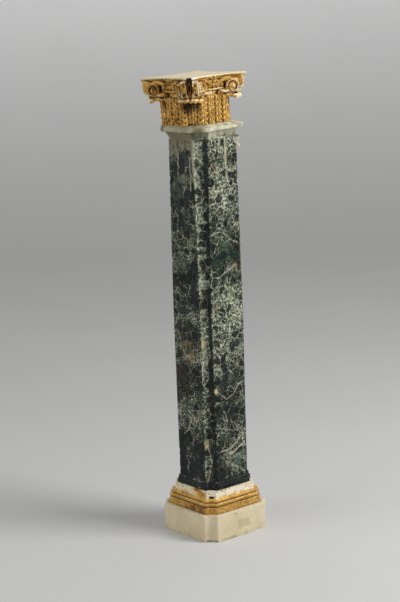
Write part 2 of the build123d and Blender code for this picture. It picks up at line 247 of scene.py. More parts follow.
def scooped_ring(half, scoop, corner, side_steps, arc_steps):
    """Anticlockwise outline of a square of half width half, scooped round the points at (corner, corner)."""
    reach = corner - math.sqrt(max(scoop ** 2 - (corner - half) ** 2, 0))
    start = math.pi - math.asin(max(-1, min(1, (corner - half) / scoop)))
    stop = math.pi * 1.5 - start
    across = np.linspace(-reach, reach, side_steps, endpoint=False)
    side = np.stack([across, np.full(side_steps, -half)], axis=1)
    angle = np.linspace(start, stop, arc_steps, endpoint=False)
    arc = np.stack([corner + scoop * np.cos(angle), -corner + scoop * np.sin(angle)], axis=1)
    return all_round(np.concatenate([side, arc]))


def scooped_rings(profile, side_steps, arc_steps):
    """Rings of a scooped square from a profile of (half, scoop, corner, height) rows."""
    rings = []
    for half, scoop, corner, height in profile:
        ring = scooped_ring(half, scoop, corner, side_steps, arc_steps)
        rings.append(np.column_stack([ring, np.full(len(ring), height)]))
    return np.array(rings)


def finer(profile, spacing):
    """The same profile with more rows, no further apart than spacing."""
    rows = [np.array(profile[0], dtype=float)]
    for row in profile[1:]:
        last = rows[-1]
        row = np.array(row, dtype=float)
        steps = max(1, math.ceil(math.dist(last[[0, 3]], row[[0, 3]]) / spacing))
        for number in range(1, steps + 1):
            rows.append(last + (row - last) * number / steps)
    return rows


def new_object(name, data):
    """An object of this data, in the scene."""
    made = bpy.data.objects.new(name, data)
    bpy.context.scene.collection.objects.link(made)
    return made


def put_in_scene(name, mesh, material, replaced):
    """Adds a piece of the column to the scene, riding on the one body."""
    piece = new_object(name, mesh)
    mesh.materials.append(material)
    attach(piece, "root")
    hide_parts(replaced)


# Material writing

def srgb(red, green, blue):
    """Linear colour from the usual 0 to 255 values."""
    parts = [value / 255 for value in (red, green, blue)]
    linear = [part / 12.92 if part <= 0.04045 else ((part + 0.055) / 1.055) ** 2.4 for part in parts]
    return (*linear, 1.0)


class Paint:
    """A node material written as short sums."""

    def __init__(self, name):
        """Starts an empty material; place is a point's place on the object in metres."""
        self.material = bpy.data.materials.new(name)
        self.material.use_nodes = True
        self.tree = self.material.node_tree
        self.shader = self.tree.nodes["Principled BSDF"]
        self.place = self.tree.nodes.new("ShaderNodeTexCoord").outputs["Object"]

    def put(self, socket, value):
        """Feeds an input from another node, or sets its constant."""
        if isinstance(value, bpy.types.NodeSocket):
            self.tree.links.new(value, socket)
        else:
            socket.default_value = value

    def sum(self, operation, *values):
        """One sum of numbers or outputs."""
        node = self.tree.nodes.new("ShaderNodeMath")
        node.operation = operation
        for socket, value in zip(node.inputs, values):
            self.put(socket, value)
        return node.outputs[0]

    def add(self, first, second):
        """Two values added."""
        return self.sum("ADD", first, second)

    def times(self, first, second):
        """Two values multiplied."""
        return self.sum("MULTIPLY", first, second)

    def invert(self, value):
        """1 less a value."""
        return self.sum("SUBTRACT", 1.0, value)

    def swing(self, value, middle, strength):
        """A value's distance from its middle, made larger or smaller."""
        return self.times(self.sum("SUBTRACT", value, middle), strength)

    def fade(self, value, low, high):
        """Smooth change from 0 at low to 1 at high."""
        node = self.tree.nodes.new("ShaderNodeMapRange")
        node.interpolation_type = "SMOOTHSTEP"
        self.put(node.inputs["Value"], value)
        flipped = low > high
        if flipped:
            low, high = high, low
        node.inputs["From Min"].default_value = low
        node.inputs["From Max"].default_value = high
        node.inputs["To Min"].default_value = 1.0 if flipped else 0.0
        node.inputs["To Max"].default_value = 0.0 if flipped else 1.0
        return node.outputs[0]

    def mix(self, factor, low, high):
        """One colour laid over another."""
        node = self.tree.nodes.new("ShaderNodeMix")
        node.data_type = "RGBA"
        self.put(node.inputs[0], factor)
        self.put(node.inputs[6], low)
        self.put(node.inputs[7], high)
        return node.outputs[2]

    def noise(self, scale, detail=3.0, roughness=0.55, place=None):
        """Noise value from 0 to 1; scale is in features a metre."""
        node = self.tree.nodes.new("ShaderNodeTexNoise")
        self.put(node.inputs["Vector"], place or self.place)
        node.inputs["Scale"].default_value = scale
        node.inputs["Detail"].default_value = detail
        node.inputs["Roughness"].default_value = roughness
        return node.outputs["Fac"]

    def warped(self, scale, reach, place=None):
        """The place moved about by noise, by up to reach metres."""
        node = self.tree.nodes.new("ShaderNodeTexNoise")
        self.put(node.inputs["Vector"], place or self.place)
        node.inputs["Scale"].default_value = scale
        centred = self.vector("SUBTRACT", node.outputs["Color"], (0.5, 0.5, 0.5))
        spread = self.vector("SCALE", centred, scale=reach * 2)
        return self.vector("ADD", place or self.place, spread)

    def vector(self, operation, first, second=None, scale=None):
        """One sum of vectors."""
        node = self.tree.nodes.new("ShaderNodeVectorMath")
        node.operation = operation
        self.put(node.inputs[0], first)
        if second is not None:
            self.put(node.inputs[1], second)
        if scale is not None:
            node.inputs["Scale"].default_value = scale
        return node.outputs[0]

    def cells(self, scale, place, feature="F1"):
        """Voronoi node; its outputs are Distance and Color."""
        node = self.tree.nodes.new("ShaderNodeTexVoronoi")
        node.feature = feature
        self.put(node.inputs["Vector"], place)
        node.inputs["Scale"].default_value = scale
        return node.outputs

    def value(self, name):
        """A value kept on the mesh."""
        node = self.tree.nodes.new("ShaderNodeAttribute")
        node.attribute_name = name
        return node.outputs["Fac"]

    def colour(self, name):
        """A colour kept on the mesh."""
        node = self.tree.nodes.new("ShaderNodeAttribute")
        node.attribute_name = name
        return node.outputs["Color"]

    def ramp(self, value, stops):
        """Colour of a value from (place, colour) stops."""
        node = self.tree.nodes.new("ShaderNodeValToRGB")
        elements = node.color_ramp.elements
        while len(elements) > 1:
            elements.remove(elements[-1])
        for number, (position, colour) in enumerate(stops):
            element = elements[0] if number == 0 else elements.new(position)
            element.position = position
            element.color = colour
        self.put(node.inputs[0], value)
        return node.outputs[0]

    def split(self, colour):
        """Red, green and blue of a colour."""
        node = self.tree.nodes.new("ShaderNodeSeparateColor")
        self.put(node.inputs[0], colour)
        return node.outputs

    def hollows(self, distance):
        """Painted shade in hollows from 0 to 1, by ambient occlusion."""
        node = self.tree.nodes.new("ShaderNodeAmbientOcclusion")
        node.samples = 8
        node.inputs["Distance"].default_value = distance
        return self.invert(node.outputs["AO"])

    def finish(self, colour, roughness, metallic=0.0, height=None, depth=0.0005, gloss=0.5):
        """Feeds the shader; depth is that of the relief in metres, gloss the specular level."""
        self.put(self.shader.inputs["Base Color"], colour)
        self.put(self.shader.inputs["Roughness"], roughness)
        self.put(self.shader.inputs["Metallic"], metallic)
        self.shader.inputs["Specular IOR Level"].default_value = gloss
        if height is not None:
            bump = self.tree.nodes.new("ShaderNodeBump")
            bump.inputs["Distance"].default_value = depth
            self.put(bump.inputs["Height"], height)
            self.put(self.shader.inputs["Normal"], bump.outputs[0])
        return self.material


# Limestone of the plinth

def limestone():
    """Cream limestone with grain, specks, pale edges, darker patches low down and a stain."""
    paint = Paint("limestone")
    cloud = paint.noise(14, 4, 0.6)
    grain = paint.noise(420, 3, 0.7)
    speck = paint.noise(900, 1)
    colour = paint.mix(paint.fade(cloud, 0.3, 0.7), srgb(222, 206, 168), srgb(238, 224, 190))
    colour = paint.mix(paint.times(paint.fade(grain, 0.5, 0.72), 0.35), colour, srgb(176, 160, 122))
    colour = paint.mix(paint.times(paint.fade(speck, 0.66, 0.74), 0.5), colour, srgb(140, 124, 92))
    colour = paint.mix(paint.times(paint.value("edge"), 0.55), colour, srgb(246, 238, 212))
    colour = paint.mix(paint.value("soil"), colour, srgb(112, 94, 62))
    colour = paint.mix(paint.value("stain"), colour, srgb(165, 150, 115))
    roughness = paint.ramp(grain, [(0.3, (0.72,) * 3 + (1,)), (0.7, (0.9,) * 3 + (1,))])
    relief = paint.add(paint.times(grain, 0.6), paint.times(paint.noise(160, 2), 0.4))
    return paint.finish(colour, roughness, height=relief, depth=0.0004)


def make_plinth():
    """Square block with scooped corners, chipped, and darker in places low down and by the base."""
    bevel = 1.4
    inner = base_half - 6

    def row(inset, height):
        return plinth_half - inset, plinth_scoop + inset, plinth_half, height

    profile = finer([row(bevel + 8, 0), row(bevel, 0), row(0.4, 0.5), row(0, bevel), row(0, plinth_top - bevel),
                     row(0.4, plinth_top - 0.4), row(bevel, plinth_top), row(plinth_half - inner, plinth_top)], 2.2)
    mesh = tube("plinth_stone", scooped_rings(profile, 84, 26))
    points = places(mesh)
    x, y, z = points.T
    inset = plinth_half - np.max(np.abs(points[:, :2]), axis=1)
    to_top = np.abs(z - plinth_top)
    to_foot = np.abs(z)
    near_top = step(to_top, 5, 0) * step(inset, 8, 0)
    near_foot = step(to_foot, 5, 0)
    arris = plinth_half - plinth_scoop - np.min(np.abs(points[:, :2]), axis=1)
    near_arris = step(np.abs(arris), 5, 0) * step(inset, 3, 0)
    edge = np.clip(near_top + near_arris + near_foot, 0, 1)
    chips = patches(points, 7, 3, 0.62, 0.9) * edge
    wave = rough(points, 60, 5) * 0.35
    pits = patches(points, 2.6, 8, 0.82, 0.95) * 0.5
    chip = step(far_from(points, (-20, -plinth_half, 62), (7, 9, 4)), 1.1, 0.5)
    sunk = -1.6 * chips - pits + wave - 1.6 * chip - 0.4
    keep = step(z, 0, 1.0)
    move_out(mesh, np.minimum(sunk, 0) * keep)
    in_scoop = step(inset, 1, 6) * step(z, plinth_top, plinth_top - 2)
    # Darker towards the bottom, low in the scoops, on the top beside the base and in the chip
    soil = 0.5 * step(z, 14, 0) * step(rough(points, 16, 21), -0.3, 0.6)
    soil += 0.75 * in_scoop * step(z, 26, 2) * patches(points, 12, 22, 0.35, 0.7)
    soil += 0.5 * step(inset, 10, 13) * step(to_top, 2, 0.5) * patches(points, 14, 23, 0.3, 0.7)
    soil += 0.3 * chip
    patch = np.maximum(np.abs((x - 9) / 21), np.abs((z - 33) / 12))
    on_right = step(y, -plinth_half + 3, -plinth_half + 1)
    stain = 0.35 * step(patch + 0.25 * rough(points, 9, 24), 1.1, 0.8) * on_right
    store(mesh, edge=edge * patches(points, 9, 25, 0.2, 0.7), soil=np.clip(soil, 0, 0.85), stain=stain)
    put_in_scene("plinth_block", mesh, limestone(), "plinth")


# Worn gilding, shared by the base and the capital

def worn_gilding(name, dirt_depth):
    """Gold leaf over red clay over white gesso; the mesh says where it is worn, bare or dirty, and where shade and
    highlights are painted in with these; ambient occlusion paints shade into the hollows.
    """
    paint = Paint(name)
    cloud = paint.noise(35, 3, 0.6)
    grain = paint.noise(260, 4, 0.7)
    fine = paint.noise(700, 2)
    # Painted shade: ambient occlusion darkens the hollows, and is added to the dirt from the mesh
    hollow = paint.hollows(dirt_depth)
    gold = paint.mix(paint.fade(cloud, 0.35, 0.65), srgb(212, 162, 76), srgb(178, 126, 42))
    gold = paint.mix(paint.fade(grain, 0.45, 0.75), gold, srgb(250, 226, 158))
    bole = paint.mix(grain, srgb(92, 46, 12), srgb(138, 84, 32))
    gesso = paint.mix(paint.noise(120, 3), srgb(252, 240, 208), srgb(232, 212, 168))
    worn = paint.add(paint.value("worn"), paint.swing(grain, 0.5, 0.9))
    bare = paint.add(paint.value("bare"), paint.swing(grain, 0.5, 0.7))
    worn = paint.fade(worn, 0.42, 0.72)
    bare = paint.fade(bare, 0.42, 0.6)
    dirt = paint.add(paint.value("dirt"), paint.times(paint.fade(hollow, 0.25, 0.85), 0.95))
    dirt = paint.add(dirt, paint.swing(fine, 0.5, 0.3))
    dirt = paint.fade(dirt, 0.25, 0.95)
    colour = paint.mix(paint.times(worn, 0.85), gold, bole)
    # Bare gesso, with the painted highlights carried along with it
    colour = paint.mix(bare, colour, gesso)
    colour = paint.mix(paint.value("chalk"), colour, srgb(252, 250, 240))
    # Dirt and painted shade darken the colour towards near black
    colour = paint.mix(paint.times(dirt, 0.94), colour, srgb(36, 17, 5))
    leaf = paint.times(paint.invert(worn), paint.invert(bare))
    leaf = paint.times(leaf, paint.invert(dirt))
    roughness = paint.sum("MULTIPLY_ADD", leaf, -0.4, 0.82)
    roughness = paint.add(roughness, paint.swing(fine, 0.5, 0.2))
    relief = paint.add(paint.times(grain, 0.6), paint.times(bare, -0.5))
    return paint.finish(colour, roughness, paint.times(leaf, 0.38), relief, 0.0006, 0.25)


def make_gilt_base():
    """Fascia, roll, fillet and slope; most of the slope's gilding is lost to the gesso."""
    quirk = 3.0
    deep_quirk = 5.4
    roll_bulge = 2.6
    fillet = 4.0
    ledge = 7.4
    round_off = 0.6
    bed_inset = base_half - 80.5
    hollow_top = base_top - 2

    def row(inset, height):
        return base_half - inset, base_scoop + inset, base_half, height

    rows = [row(8, plinth_top), row(round_off, plinth_top), row(0, plinth_top + round_off),
            row(0, fascia_top - round_off), row(round_off, fascia_top), row(quirk + 0.6, fascia_top + 0.2),
            row(quirk + 0.6, roll_low - 0.2)]
    for number in range(9):
        angle = math.pi * (number / 8 - 0.5)
        rows.append(row(quirk + 0.4 - (roll_bulge + 0.4) * math.cos(angle),
                        (roll_low + roll_high) / 2 + (roll_high - roll_low) / 2 * math.sin(angle)))
    rows += [row(deep_quirk + 0.6, roll_high + 0.2), row(deep_quirk + 0.6, fillet_low - 0.1),
             row(fillet + round_off, fillet_low), row(fillet, fillet_low + round_off),
             row(fillet, fillet_high - round_off), row(fillet + round_off, fillet_high), row(ledge, fillet_high)]
    for number in range(1, 9):
        part = number / 8
        bulge = math.sin(math.pi * part)
        rows.append(row(ledge + (bed_inset - ledge) * part + 1.2 * bulge,
                        fillet_high + (hollow_top - fillet_high) * part - 0.4 * bulge))
    rows += [row(bed_inset, base_top), row(base_half - foot_half + 6, base_top)]
    mesh = tube("gilt_base_moulding", scooped_rings(finer(rows, 1.25), 104, 24))
    points = places(mesh)
    x, y, height = points.T
    on_left = step(x, -64, -74) * step(y, -78, -70)
    on_right = step(y, -64, -74) * step(x, -78, -70)
    slope = step(height, fillet_high + 0.5, fillet_high + 2.5)

    # Gilding is left in three patches, behind, and along the top of the slope; the rest of the slope is bare
    gilt_left = np.hypot((y + 38) / 27, (height - (119 + 0.25 * (y + 38))) / 10)
    gilt_right = np.hypot((x + 38) / 11, (height - 109) / 4.5)
    gilt_far = np.hypot((y - 30) / 34, (height - 109) / 4)
    torn = 0.45 * rough(points, 9, 31)
    kept = np.maximum(step(gilt_left + torn, 1.15, 0.85) * on_left, step(gilt_right + torn, 1.15, 0.85) * on_right)
    kept = np.maximum(kept, 0.9 * step(gilt_far + torn, 1.1, 0.8) * on_left)
    behind = step(x + y, 10, 60)
    kept = np.maximum(kept, behind * patches(points, 28, 35, 0.52, 0.6))
    kept = np.maximum(kept, step(height + 2.5 * rough(points, 10, 36), fillet_high + 5.5, fillet_high + 3.5))
    bare = slope * (1 - kept)
    loss = bare * (0.6 + 0.5 * noise(points, 3.5, 32))
    crust = bare * (rough(points, 5, 33) * 1.6 + rough(points, 14, 49) * 1.2)
    pits = bare * patches(points, 3.2, 34, 0.6, 0.8) * 2.2
    hole = step(far_from(points, (-73, -73, 113), (9, 9, 3.6)) + 0.2 * rough(points, 4, 37), 1.1, 0.6)
    wave = 0.3 * rough(points, 40, 38) + 0.12 * rough(points, 6, 39)
    edge = np.zeros(len(points))
    for level in (fascia_top, roll_high - 2, fillet_high):
        edge = np.maximum(edge, step(np.abs(height - level), 2.4, 0.4))
    nicks = edge * patches(points, 6, 40, 0.72, 0.92) * 1.1
    out = crust + wave - pits - nicks - 2.6 * hole - 0.5 * loss
    keep = step(height, plinth_top, plinth_top + 1.5) * step(height, base_top, base_top - 1.0)
    move_out(mesh, np.minimum(out, 0.9) * keep)

    # Red clay and dirt on the left of the fascia, with painted shade over the whole left side and in the quirks,
    # and painted highlights along the upper edges and on the slope's right face
    fascia = step(height, fascia_top + 0.5, fascia_top - 0.5)
    shifted = y + 7 * rough(points, 10, 41)
    red_left = between(shifted, -34, -18, 2, 16) * on_left * fascia
    dark_left = between(shifted, -72, -62, -30, -14) * on_left * fascia
    worn = 0.14 + 0.2 * rough(points, 12, 45) + 0.32 * red_left + 0.42 * dark_left
    worn += 0.3 * patches(points, 9, 42, 0.55, 0.9)
    # Painted shade: the left side worn darker in patches
    worn += 0.15 * on_left * step(rough(points, 22, 48), -0.3, 0.5)
    worn += 0.2 * edge * patches(points, 7, 43, 0.4, 0.8) + 0.4 * kept * slope * patches(points, 6, 47, 0.5, 0.8)
    # Dirt and painted shade in the quirks; darker at the foot beside the plinth and over the left fascia
    quirks = np.maximum(step(np.abs(height - (fascia_top + 0.9)), 1.3, 0.5),
                        step(np.abs(height - (roll_high + 0.9)), 1.3, 0.5))
    dirt = 0.35 * quirks + 0.3 * dark_left + 0.12 * red_left + 0.3 * step(height, plinth_top + 3, plinth_top)
    dirt += 0.9 * hole + 0.2 * pits + 0.1 * on_left * fascia
    dirt += 0.35 * step(y, 60, 90) * on_left * step(height, 96, 90)
    # Chalk on the bare slope, stronger on the right face as painted light
    chalk = 0.5 * bare * patches(points, 10, 50, 0.4, 0.6) * np.maximum(on_right, 0.4)
    # Painted highlight along the upper edges of the mouldings, laid in as gesso
    bare = np.clip(bare * 0.95 - 0.5 * hole, 0, 1) + 0.5 * edge * patches(points, 7, 44, 0.35, 0.7)
    store(mesh, worn=worn, bare=bare, dirt=dirt, chalk=chalk)
    put_in_scene("gilt_base_moulding", mesh, worn_gilding("worn_gilding_base", 0.006), "gilt_base")


# Green breccia marble of the shaft

def marks_on(points, along, level, marks, warp):
    """How far each point is inside each blot of (along, level, half width, half height, tilt)."""
    total = np.zeros(len(points))
    for centre, height, wide, tall, tilt in marks:
        turn = math.radians(tilt)
        across = (along - centre) * math.cos(turn) + (level - height) * math.sin(turn)
        rise = (level - height) * math.cos(turn) - (along - centre) * math.sin(turn)
        distance = np.hypot(across / wide, rise / tall) + warp
        total = np.maximum(total, step(distance, 1.2, 0.8))
    return total


def lines_on(along, level, lines, wander):
    """How near each point is to each line of (along, level) places, drawn with a width."""
    total = np.zeros(len(along))
    here = np.stack([along, level], axis=1) + wander
    for width, *path in lines:
        for start, stop in zip(path, path[1:]):
            start = np.array(start, dtype=float)
            run = np.array(stop, dtype=float) - start
            part = np.clip((here - start) @ run / (run @ run), 0, 1)
            distance = np.linalg.norm(here - start - part[:, None] * run, axis=1)
            total = np.maximum(total, step(distance, 0.75 * width, 0.2 * width))
    return total


def breccia(paint):
    """Colour of the green breccia and its net of pale veins; the mesh says where the net is thick."""
    place = paint.warped(28, 0.006)
    place = paint.warped(140, 0.0016, place)
    big = paint.cells(48, place)
    small = paint.cells(104, place)
    big_edge = paint.cells(48, place, "DISTANCE_TO_EDGE")["Distance"]
    small_edge = paint.cells(104, place, "DISTANCE_TO_EDGE")["Distance"]
    tiny_edge = paint.cells(225, place, "DISTANCE_TO_EDGE")["Distance"]
    pick = paint.split(big["Color"])[0]
    second = paint.split(small["Color"])[1]
    clast = paint.ramp(pick, [(0.0, srgb(9, 12, 12)), (0.3, srgb(16, 21, 19)), (0.5, srgb(18, 30, 25)),
                              (0.66, srgb(26, 44, 35)), (0.8, srgb(12, 16, 16)), (0.92, srgb(34, 30, 22)),
                              (1.0, srgb(22, 18, 17))])
    clast = paint.mix(paint.times(paint.fade(second, 0.6, 0.95), 0.5), clast, srgb(44, 62, 46))
    solid = paint.fade(pick, 0.34, 0.3)
    mottle = paint.noise(60, 5, 0.7, place)
    fog = paint.noise(20, 4, 0.65, place)
    pale = paint.value("pale")
    reach = paint.add(pale, paint.swing(fog, 0.53, 1.7))
    big_width = paint.sum("MULTIPLY_ADD", reach, 0.085, -0.010)
    small_width = paint.sum("MULTIPLY_ADD", reach, 0.175, -0.045)
    tiny_width = paint.sum("MULTIPLY_ADD", reach, 0.20, -0.085)
    big_vein = paint.fade(paint.sum("SUBTRACT", big_edge, big_width), 0.012, -0.012)
    small_vein = paint.fade(paint.sum("SUBTRACT", small_edge, small_width), 0.03, -0.03)
    tiny_vein = paint.fade(paint.sum("SUBTRACT", tiny_edge, tiny_width), 0.06, -0.06)
    veins = paint.sum("MAXIMUM", paint.times(small_vein, 0.95), paint.times(tiny_vein, 0.62))
    veins = paint.times(veins, paint.sum("MULTIPLY_ADD", solid, -0.85, 1))
    veins = paint.sum("MAXIMUM", veins, paint.times(big_vein, 0.6))
    veins = paint.times(veins, paint.fade(mottle, 0.22, 0.5))
    bright = paint.fade(paint.noise(150, 3, 0.6), 0.4, 0.6)
    vein_colour = paint.mix(bright, srgb(116, 128, 104), srgb(226, 228, 202))
    vein_colour = paint.mix(paint.times(paint.fade(paint.noise(34, 3, 0.6), 0.6, 0.74), 0.6), vein_colour,
                            srgb(168, 140, 92))
    tinted = paint.times(paint.value("tinted"), paint.fade(mottle, 0.34, 0.56))
    clast = paint.mix(tinted, clast, paint.colour("tint"))
    cloud = paint.times(paint.fade(reach, 0.75, 1.2), 0.5)
    cloud = paint.times(cloud, paint.sum("MULTIPLY_ADD", solid, -0.9, 1))
    clast = paint.mix(cloud, clast, srgb(126, 138, 112))
    veins = paint.times(veins, paint.invert(paint.value("dark")))
    colour = paint.mix(veins, clast, vein_colour)
    colour = paint.mix(paint.times(tinted, 0.4), colour, paint.colour("tint"))
    spot = paint.times(paint.value("spot"), paint.fade(mottle, 0.38, 0.58))
    colour = paint.mix(spot, colour, paint.colour("tint"))
    line = paint.times(paint.value("line"), paint.fade(mottle, 0.3, 0.55))
    return paint.mix(line, colour, srgb(204, 202, 178))


def marble():
    """Green breccia under a chalky film that has run down from the neck."""
    paint = Paint("green_breccia_marble")
    colour = breccia(paint)
    streak = paint.noise(90, 4, 0.7)
    film_colour = paint.mix(paint.fade(streak, 0.35, 0.7), srgb(104, 98, 76), srgb(164, 158, 132))
    film_colour = paint.mix(paint.value("drip"), film_colour, srgb(208, 202, 176))
    film = paint.add(paint.value("film"), paint.swing(streak, 0.5, 0.7))
    film = paint.fade(film, 0.3, 0.8)
    colour = paint.mix(paint.times(film, 0.85), colour, film_colour)
    roughness = paint.sum("MULTIPLY_ADD", film, 0.5, 0.2)
    roughness = paint.add(roughness, paint.times(paint.noise(180, 2), 0.12))
    relief = paint.add(paint.times(paint.noise(200, 3), 0.3), paint.times(film, 0.7))
    return paint.finish(colour, roughness, height=relief, depth=0.00035, gloss=0.2)


# Where the net of pale veins is thick, on the two faces in view and the corner between: (height, strength)
pale_right = [(128, 0.1), (150, 0.1), (156, 0.36), (200, 0.5), (245, 0.44), (300, 0.42), (330, 0.22), (370, 0.26),
              (400, 0.38), (455, 0.46), (480, 0.5), (530, 0.55), (548, 0.7), (610, 0.84), (650, 0.68), (690, 0.44),
              (740, 0.32), (790, 0.45), (835, 0.62), (890, 0.72), (935, 0.66), (955, 0.5), (1000, 0.5),
              (1030, 0.85), (1060, 0.95)]
pale_left = [(128, 0.05), (160, 0.1), (230, 0.22), (260, 0.38), (330, 0.5), (395, 0.42), (450, 0.36), (480, 0.5),
             (520, 0.44), (600, 0.34), (690, 0.34), (735, 0.38), (780, 0.5), (850, 0.42), (900, 0.16), (925, 0.3),
             (955, 0.25), (1060, 0.3)]
pale_scoop = [(128, 0.05), (152, 0.3), (300, 0.45), (480, 0.6), (600, 0.7), (700, 0.8), (900, 0.75), (1060, 0.95)]

# Blots on the right face, seen in the photograph: (along, height, half width, half height, tilt)
right_blots = {
    (20, 25, 24): [(15, 500, 10, 17, 0), (2, 329, 14, 13, 0), (-40, 925, 5, 4, 0), (-8, 943, 5, 5, 0),
                   (-20, 925, 6, 4, 0), (0, 645, 6, 6, 0), (45, 455, 7, 12, 0), (-20, 470, 8, 7, 0),
                   (38, 945, 4, 8, 0), (22, 990, 4, 5, 0), (30, 967, 4, 4, 0), (22, 950, 4, 4, 0),
                   (-45, 1040, 4, 5, 0), (-28, 1030, 3, 5, 0), (-16, 170, 16, 11, 0)],
    (42, 62, 48): [(-38, 833, 13, 8, 5), (18, 830, 13, 9, -5), (20, 795, 14, 9, 10), (0, 765, 22, 16, 0),
                   (-27, 725, 18, 20, 0), (-22, 270, 12, 10, 0)],
    (78, 100, 82): [(25, 200, 22, 15, 20), (8, 735, 9, 8, 0)],
    (156, 128, 66): [(32, 711, 11, 11, 20), (-20, 960, 9, 9, 0), (12, 574, 5, 5, 0)],
    (92, 66, 38): [(-15, 1020, 10, 6, 0), (-30, 790, 12, 5, 10), (-38, 615, 8, 6, 0), (-33, 975, 9, 14, 0)],
    (206, 196, 140): [(-45, 393, 7, 8, 0)],
    (150, 160, 110): [(18, 642, 12, 16, 0)],
}
right_lines = [(2.2, (-30, 688), (8, 702), (30, 716)),
               (2.0, (-50, 797), (-20, 806), (-5, 800), (20, 784), (45, 770)),
               (2.0, (-45, 388), (-35, 383), (-12, 365), (10, 375), (25, 393), (45, 402)),
               (1.8, (-24, 338), (-13, 325), (-2, 338)), (1.8, (-13, 325), (-10, 306)),
               (3.0, (-20, 215), (14, 224), (45, 242)), (2.6, (-32, 228), (0, 234), (30, 254)),
               (1.8, (-18, 228), (-12, 205), (-14, 190)), (1.8, (-3, 187), (20, 176), (45, 160)),
               (1.6, (0, 180), (0, 155)), (2.0, (-5, 150), (10, 136)), (2.2, (10, 1030), (9, 980), (13, 925)),
               (1.6, (-45, 455), (-22, 440), (-30, 418)), (1.6, (5, 470), (25, 455), (46, 440))]

# Blots on the left face
left_blots = {
    (24, 27, 34): [(0, 980, 13, 22, 4), (26, 974, 8, 10, 0), (5, 828, 9, 9, 0), (35, 812, 9, 11, 0),
                   (30, 833, 8, 6, 0), (-35, 652, 13, 36, 0), (20, 175, 30, 26, 0), (-20, 190, 26, 34, 0)],
    (52, 40, 36): [(28, 425, 22, 28, 0), (38, 670, 8, 8, 0), (10, 533, 16, 5, 0), (5, 390, 11, 13, 0),
                   (-48, 270, 5, 30, 0)],
    (58, 46, 54): [(32, 557, 9, 12, 0), (10, 600, 24, 7, 0)],
    (150, 124, 74): [(-10, 478, 20, 18, -30), (10, 512, 26, 8, -20)],
    (112, 96, 66): [(-30, 320, 13, 20, 0), (0, 500, 40, 12, -15)],
    (66, 72, 60): [(25, 905, 22, 26, 0), (20, 715, 30, 20, 0)],
    (104, 112, 92): [(-10, 940, 34, 12, 0), (-20, 775, 18, 16, 0)],
}
left_lines = [(1.6, (-15, 640), (-10, 655), (-18, 664)), (2.0, (5, 300), (5, 285), (25, 265)),
              (1.6, (5, 285), (-8, 272)), (1.6, (20, 208), (12, 190), (18, 172), (12, 160)),
              (2.4, (-34, 1010), (-35, 912)), (2.0, (10, 1010), (12, 950)),
              (1.4, (40, 540), (15, 528), (0, 536)), (1.5, (20, 470), (0, 482), (-16, 462)),
              (1.5, (45, 800), (20, 806), (-10, 790)), (1.4, (30, 860), (18, 842), (24, 820))]

# Blots on the scooped corner between them, by height and by distance across, far left to far right; the three tall
# dark strips down its right half are painted shade
scoop_blots = {
    (208, 196, 146): [(-9, 252, 7, 13, 0), (-9, 520, 5, 17, 0)],
    (150, 122, 84): [(-6, 592, 8, 8, 0)],
    (22, 26, 24): [(-6, 757, 8, 8, 0), (-4, 707, 9, 8, 0), (-4, 886, 12, 10, 0), (-8, 1042, 7, 6, 0)],
    (34, 36, 32): [(14, 960, 8, 46, 0), (14, 560, 8, 110, 0), (12, 420, 10, 80, 0)],
}
scoop_lines = [(2.0, (-14, 878), (6, 896)), (1.6, (-10, 150), (2, 200), (-4, 240)), (1.6, (-12, 340), (8, 330))]


